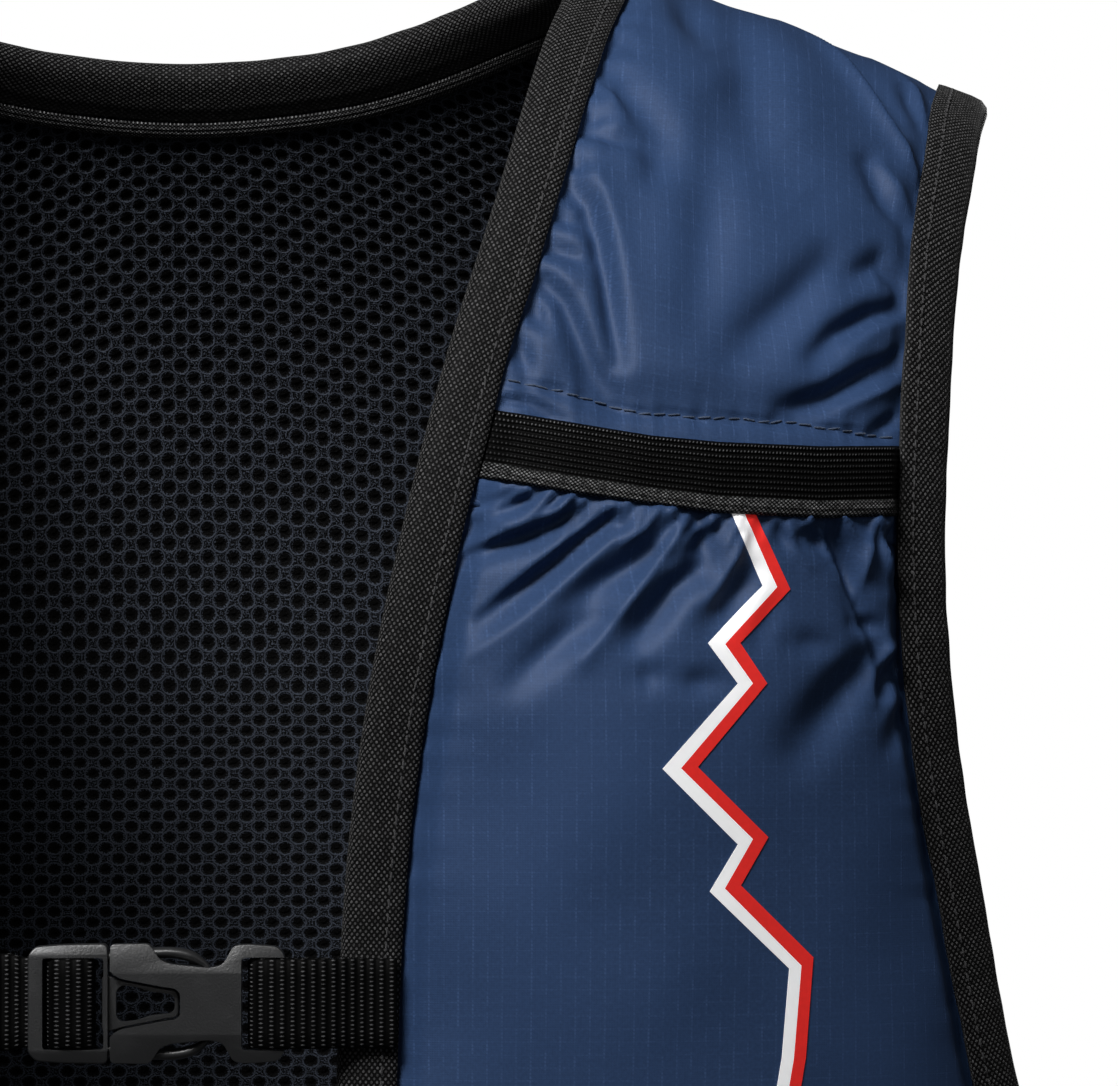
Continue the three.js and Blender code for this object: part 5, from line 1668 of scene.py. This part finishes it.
class VEST_OT_strap(bpy.types.Operator):
    """Adds the webbing of the sternum strap"""
    bl_idname = "vest.strap"
    bl_label = "Sternum Strap"

    def execute(self, context):
        material = ribbed_material("Webbing", colours().elastic, 0.75, 1.75)
        webbing("left_webbing", LEFT_STRAP, "left_strap", material)
        webbing("right_webbing", RIGHT_STRAP, "right_strap", material, spread=0.08)
        return {"FINISHED"}


# Buckle: outlines (x, z) about the strap's middle line, in millimetres
SOCKET_OUTLINE = [
    (-6.6, 10.3), (0.3, 10.4), (2.1, 7.6), (4.0, 6.9), (10.6, 6.25), (12.9, 6.7), (14.8, 10.1),
    (17.2, 10.3), (22.5, 9.9), (23.7, 8.3),
]
THROAT = [(-7.0, 6.2), (-6.1, 5.2), (-4.8, 4.4), (2.8, 2.95), (4.7, 2.7), (5.6, 1.9)]
FRAME_OUTLINE = [(-20.8, 8.4), (-19.6, 9.9), (-15.0, 10.25), (-7.0, 10.4)]
TONGUE = [(-8.0, 4.9), (-6.1, 4.7), (-4.7, 4.1), (2.8, 2.65), (4.6, 2.4), (5.3, 1.8)]
TONGUE_WINDOW = [(-5.6, 2.3), (-4.6, 3.2), (-1.8, 2.9), (0.2, 2.1), (3.8, 1.7), (4.6, 1.0)]
PRONG_LINE = [
    (-7.2, 8.0), (-2, 8.5), (2.0, 8.8), (4.8, 8.75), (7.0, 8.3), (8.9, 7.4), (10.2, 6.3), (10.6, 5.4),
]
SOCKET_THICK, FRAME_THICK, TONGUE_THICK = 6.6, 5.6, 3.2


def mirrored(points):
    return list(points) + [(x, -z) for x, z in reversed(points)]


def box_outline(left, right, half):
    return mirrored([(left, half), (right, half)])


def rounded(points, radius, steps=5):
    """Corners of an outline rounded by short arcs."""
    points = np.array(points, float)
    made = []
    for before, corner, after in zip(np.roll(points, 1, 0), points, np.roll(points, -1, 0)):
        cut = min(radius, 0.45 * np.linalg.norm(before - corner), 0.45 * np.linalg.norm(after - corner))
        start, end = corner + unit(before - corner) * cut, corner + unit(after - corner) * cut
        for t in np.linspace(0, 1, steps):
            made.append(mix(mix(start, corner, t), mix(corner, end, t), t))
    return np.array(made)


def deselect_all():
    for piece in bpy.context.selected_objects:
        piece.select_set(False)


def make_active(piece):
    deselect_all()
    piece.select_set(True)
    bpy.context.view_layer.objects.active = piece


def apply_modifier(piece, kind, **settings):
    make_active(piece)
    made = piece.modifiers.new(kind.title(), kind)
    for key, value in settings.items():
        setattr(made, key, value)
    bpy.ops.object.modifier_apply(modifier=made.name)


def plate(outline, thick, ease=0.0, crease=None, drop=0.0):
    """A flat outline across the strap's plane, extruded, sloped beyond a crease and eased."""
    deselect_all()
    bpy.ops.mesh.primitive_circle_add(vertices=len(outline), radius=0.02, fill_type="NGON")
    piece = bpy.context.object
    for vertex, (x, z) in zip(piece.data.vertices, outline):
        vertex.co = (x * 0.001, (BUCKLE_Y - thick / 2) * 0.001, (STRAP_Z + z) * 0.001)
    bpy.ops.object.mode_set(mode="EDIT")
    bpy.ops.mesh.select_all(action="SELECT")
    bpy.ops.mesh.extrude_region_move(TRANSFORM_OT_translate={"value": (0, thick * 0.001, 0)})
    if crease:
        for side in (1, -1):
            bpy.ops.mesh.select_all(action="SELECT")
            level = (STRAP_Z + side * crease) * 0.001
            bpy.ops.mesh.bisect(plane_co=(0, 0, level), plane_no=(0, 0, 1))
    bpy.ops.mesh.select_all(action="SELECT")
    bpy.ops.mesh.normals_make_consistent(inside=False)
    bpy.ops.object.mode_set(mode="OBJECT")
    for vertex in piece.data.vertices:
        over = abs(vertex.co.z * 1000 - STRAP_Z) - (crease or 99)
        if over > 0:
            toward = np.sign(vertex.co.y * 1000 - BUCKLE_Y)
            vertex.co.y -= toward * drop * over * 0.001
    if ease:
        bpy.ops.object.mode_set(mode="EDIT")
        bpy.ops.mesh.select_all(action="DESELECT")
        bpy.ops.object.mode_set(mode="OBJECT")
        for edge in piece.data.edges:
            a, b = (piece.data.vertices[i] for i in edge.vertices)
            same_face = (a.co.y * 1000 - BUCKLE_Y) * (b.co.y * 1000 - BUCKLE_Y) > 0
            flat = crease and abs(abs(a.co.z * 1000 - STRAP_Z) - crease) < 0.01 and \
                abs(abs(b.co.z * 1000 - STRAP_Z) - crease) < 0.01
            edge.select = bool(same_face and not flat)
        bpy.ops.object.mode_set(mode="EDIT")
        bpy.ops.mesh.select_mode(type="EDGE")
        bpy.ops.mesh.bevel(offset=ease * 0.001, segments=4, affect="EDGES", clamp_overlap=True)
        bpy.ops.object.mode_set(mode="OBJECT")
    return piece


def combine(piece, other, operation):
    """Cuts the other solid out of a piece, or joins it on."""
    apply_modifier(piece, "BOOLEAN", operation=operation, object=other, solver="EXACT")
    bpy.data.objects.remove(other, do_unlink=True)
    return piece


def prong(side):
    """A springy prong: an oval rod along its curved line."""
    knots = np.array([(x, side * z) for x, z in PRONG_LINE], float)
    line = spaced_points(knots, 48)
    along = unit(np.gradient(line, axis=0))
    across = np.stack([-along[:, 1], along[:, 0]], -1)
    share = np.linspace(0, 1, len(line))
    fat = 0.98 * (1 - 0.55 * smooth((share - 0.75) / 0.25))
    turn = np.linspace(0, 2 * math.pi, 18, endpoint=False)
    flat = line[:, None] + across[:, None] * (fat[:, None] * np.cos(turn))[..., None]
    deep = BUCKLE_Y - 0.5 + (fat * 1.35)[:, None] * np.sin(turn)
    points = np.stack([flat[..., 0], deep, STRAP_Z + flat[..., 1]], -1).reshape(-1, 3)
    faces = [grid_faces(len(line), 18, wrap_columns=True)]
    ring = np.arange(18)[None]
    return points, faces + [ring[:, ::-1], ring + (len(line) - 1) * 18]


def plain_solid(points, faces):
    """An unfinished solid, to be joined to another."""
    mesh = bpy.data.meshes.new("part")
    rings = [tuple(int(i) for i in f) for group in faces for f in group]
    mesh.from_pydata((points * 0.001).tolist(), [], rings)
    made = bpy.data.objects.new("part", mesh)
    bpy.context.scene.collection.objects.link(made)
    make_active(made)
    bpy.ops.object.mode_set(mode="EDIT")
    bpy.ops.mesh.select_all(action="SELECT")
    bpy.ops.mesh.normals_make_consistent(inside=False)
    bpy.ops.object.mode_set(mode="OBJECT")
    return made


def finish_moulding(piece, name, node, material):
    apply_modifier(piece, "BEVEL", width=0.00022, segments=2, limit_method="ANGLE",
                   angle_limit=math.radians(50))
    make_active(piece)
    bpy.ops.object.shade_smooth_by_angle(angle=math.radians(35))
    piece.name = piece.data.name = name
    piece.data.materials.clear()
    piece.data.materials.append(material)
    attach(piece, "root")
    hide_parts(node)


class VEST_OT_buckle(bpy.types.Operator):
    """Adds the two halves of the side-release buckle"""
    bl_idname = "vest.buckle"
    bl_label = "Buckle"

    def execute(self, context):
        material = plastic_material(colours())
        socket = plate(rounded(mirrored(SOCKET_OUTLINE), 0.9), SOCKET_THICK, ease=0.85, crease=5.3, drop=0.2)
        through = SOCKET_THICK + 4
        combine(socket, plate(rounded(mirrored(THROAT), 1.0), through), "DIFFERENCE")
        combine(socket, plate(rounded(box_outline(16.15, 27, 8.05), 0.9), through), "DIFFERENCE")
        for side in (1, -1):
            hollow = [(x, side * z) for x, z in ((-7.4, 9.5), (3.4, 9.5), (3.4, 6.2), (-7.4, 6.2))]
            combine(socket, plate(hollow, 4.4), "DIFFERENCE")
        combine(socket, plate(rounded(box_outline(19.4, 22, 9), 0.5), 3.0, ease=0.9), "UNION")
        finish_moulding(socket, "socket", "buckle_socket", material)

        plug = plate(rounded(mirrored(FRAME_OUTLINE), 1.1), FRAME_THICK, ease=1.0, crease=8.4, drop=0.3)
        combine(plug, plate(rounded(box_outline(-18.3, -7.7, 7.95), 0.7), through), "DIFFERENCE")
        combine(plug, plate(rounded(box_outline(-15.6, -11.4, 9), 0.4), 2.6, ease=0.7), "UNION")
        tongue = plate(rounded(mirrored(TONGUE), 0.8), TONGUE_THICK, ease=0.3)
        combine(tongue, plate(rounded(mirrored(TONGUE_WINDOW), 1.1), through), "DIFFERENCE")
        combine(plug, tongue, "UNION")
        for side in (1, -1):
            combine(plug, plain_solid(*prong(side)), "UNION")
        finish_moulding(plug, "plug", "buckle_plug", material)
        return {"FINISHED"}


def surface_tree(name):
    return BVHTree.FromObject(bpy.data.objects[name], bpy.context.evaluated_depsgraph_get())


def on_surface(tree, places, lift):
    """The points of the front's outer face at places (x, z), raised along the normal."""
    found, normals = [], []
    for x, z in places:
        hit, normal, _, _ = tree.ray_cast(Vector((x * 0.001, -0.4, z * 0.001)), Vector((0, 1, 0)))
        if hit is None:
            raise RuntimeError(f"no cloth at {x:.1f}, {z:.1f}")
        found.append(np.array(hit) * 1000 + np.array(normal) * lift)
        normals.append(np.array(normal))
    return np.array(found), np.array(normals)


class VEST_OT_zigzag(bpy.types.Operator):
    """Adds the two-colour zigzag stripe to the left flask pocket"""
    bl_idname = "vest.zigzag"
    bl_label = "Zigzag Stripe"

    def execute(self, context):
        tree = surface_tree("left_pocket_ripstop")
        lines = np.array(ZIGZAG, float)
        materials = (film_material("Light film", colours().stripe_light),
                     film_material("Bright film", colours().stripe_bright))
        for half, label in ((0, "light"), (1, "bright")):
            rows = []
            for a, b in zip(lines[:-1], lines[1:]):
                count = max(2, int(np.linalg.norm(b[1] - a[1]) / 0.5))
                rows += [mix(a, b, t) for t in np.arange(count) / count]
            rows.append(lines[-1])
            rows = np.array(rows)
            across = np.linspace(0, 1, 9)
            flat = mix(rows[:, half, None], rows[:, half + 1, None], across[None, :, None])
            points, normals = on_surface(tree, flat.reshape(-1, 2), 0.0)
            points = points.reshape(flat.shape[:2] + (3,))
            normals = normals.reshape(flat.shape[:2] + (3,))
            made, faces = shell(points, normals, 0.05 + 0 * flat[..., 0], 0.2 + 0 * flat[..., 0])
            make_active(add_piece(f"zigzag_{label}", made, faces, materials[half]))
            bpy.ops.object.shade_smooth_by_angle(angle=math.radians(40))
        return {"FINISHED"}


class VEST_OT_seams(bpy.types.Operator):
    """Adds the stitches above the pocket bands"""
    bl_idname = "vest.seams"
    bl_label = "Band Seams"

    def execute(self, context):
        thread = thread_material("Cloth thread", (0.055, 0.08, 0.135))
        for side, name in SIDES:
            tree = surface_tree(f"{name}_shoulder_ripstop")
            x = np.arange(60.5, 131.5, 0.6)
            places = np.stack([x * side, band_height(x, 3)], -1)
            points, normals = on_surface(tree, places, 0.22)
            make_stitches(f"{name}_band_seam", points, normals, 2.75, 2.4, 0.2, thread, 6)
        return {"FINISHED"}


class VEST_OT_stage(bpy.types.Operator):
    """Adds the camera, the floor and the lights"""
    bl_idname = "vest.stage"
    bl_label = "Stage"

    def execute(self, context):
        scene = context.scene
        camera = bpy.data.cameras.new("Camera")
        camera.lens, camera.sensor_width = 333.3, 36.0
        camera.clip_start, camera.clip_end = 0.05, 50
        view = bpy.data.objects.new("Camera", camera)
        view.location = (0.07113, -1.905, -0.09023)
        view.rotation_euler = (math.pi / 2, 0, 0)
        scene.collection.objects.link(view)
        scene.camera = view
        bpy.ops.mesh.primitive_circle_add(vertices=96, radius=2.4, fill_type="NGON",
                                          location=(0, 0, HEM_Z * 0.001 - 0.003))
        floor = bpy.context.object
        floor.name = "floor"
        pale, w, shader = new_material("Pale floor", 0.8, specular=0.2)
        place = object_place(w)
        pale_colour = w.blend(w.noise(place, 3.0), (0.8, 0.8, 0.8, 1), (0.86, 0.86, 0.86, 1))
        w.feed(shader.inputs["Base Color"], pale_colour)
        far = w.tree.nodes.new("ShaderNodeVectorMath")
        far.operation = "LENGTH"
        w.feed(far.inputs[0], place)
        # Painted light: the floor glows, dimly under the vest and fully towards its rim, so that it fades
        # into the white background; it is hidden from diffuse and glossy rays.
        shader.inputs["Emission Strength"].default_value = 1.0
        glow = w.blend(w.span(far.outputs["Value"], 0.2, 1.5), (0.3, 0.3, 0.3, 1), (1, 1, 1, 1))
        w.feed(shader.inputs["Emission Color"], glow)
        floor.data.materials.append(pale)
        floor.visible_diffuse = floor.visible_glossy = False
        floor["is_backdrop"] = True
        for name, place, target, size, power in LIGHTS:
            lamp = bpy.data.lights.new(name, "AREA")
            lamp.shape, lamp.size, lamp.size_y, lamp.energy = "RECTANGLE", size[0], size[1], power
            holder = bpy.data.objects.new(name, lamp)
            holder.location = place
            holder.rotation_euler = (Vector(target) - Vector(place)).to_track_quat("-Z", "Y").to_euler()
            scene.collection.objects.link(holder)
        lamp = bpy.data.lights.new("Top", "SPOT")
        lamp.energy, lamp.shadow_soft_size = 126, 0.34
        lamp.spot_size, lamp.spot_blend = math.radians(24), 1.0
        holder = bpy.data.objects.new("Top", lamp)
        holder.location = (-0.6, -1.3, 1.3)
        aim = Vector((0.07, 0, 0.04)) - holder.location
        holder.rotation_euler = aim.to_track_quat("-Z", "Y").to_euler()
        scene.collection.objects.link(holder)
        world = bpy.data.worlds.new("Studio")
        scene.world = world
        world.use_nodes = True
        tree = world.node_tree
        back = tree.nodes["Background"]
        back.inputs["Color"].default_value = (1, 1, 1, 1)
        w = Wires(tree)
        seen = tree.nodes.new("ShaderNodeLightPath").outputs["Is Camera Ray"]
        w.feed(back.inputs["Strength"], w.math("MULTIPLY_ADD", seen, 0.96, 0.04))
        scene.view_settings.view_transform = "Standard"
        return {"FINISHED"}


LIGHTS = [
    ("Key", (-0.6, -1.25, 1.35), (0.08, 0, -0.08), (0.8, 0.7), 31),
    ("Fill", (1.6, -1.2, 0.3), (0.08, 0, -0.12), (0.6, 1.0), 1.2),
    ("Front", (-0.6, -2.3, 0.3), (0.08, 0, -0.12), (0.6, 0.6), 1.5),
    ("Back", (0.15, 1.9, -0.2), (0, 0, -0.15), (1.2, 0.7), 22),
]


class VEST_PT_pieces(bpy.types.Panel):
    """Sizes, colours and pieces of the vest"""
    bl_label = "Vest"
    bl_idname = "VEST_PT_pieces"
    bl_space_type = "VIEW_3D"
    bl_region_type = "UI"
    bl_category = "Vest"

    def draw(self, context):
        for group in (context.scene.vest_sizes, context.scene.vest_colours):
            for key in group.__annotations__:
                self.layout.prop(group, key)
        for operator in OPERATORS:
            self.layout.operator(operator.bl_idname)


OPERATORS = (
    VEST_OT_stage, VEST_OT_linings, VEST_OT_joins, VEST_OT_ripstop, VEST_OT_back, VEST_OT_bands,
    VEST_OT_tapes, VEST_OT_strap, VEST_OT_buckle, VEST_OT_zigzag, VEST_OT_seams,
)
CLASSES = (VestSizes, VestColours, *OPERATORS, VEST_PT_pieces)


def register():
    for made in CLASSES:
        bpy.utils.register_class(made)
    bpy.types.Scene.vest_sizes = bpy.props.PointerProperty(type=VestSizes)
    bpy.types.Scene.vest_colours = bpy.props.PointerProperty(type=VestColours)


def unregister():
    del bpy.types.Scene.vest_colours
    del bpy.types.Scene.vest_sizes
    for made in reversed(CLASSES):
        bpy.utils.unregister_class(made)


def main():
    register()
    deselect_all()
    for operator in OPERATORS:
        group, call = operator.bl_idname.split(".")
        if getattr(getattr(bpy.ops, group), call)() != {"FINISHED"}:
            raise RuntimeError(f"{operator.bl_label} did not finish")
    low, high = CAD_BOX
    new_low, new_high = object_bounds()
    {"cad": [list(low), list(high)], "made": [list(new_low), list(new_high)]}


if __name__ == "__main__":
    main()
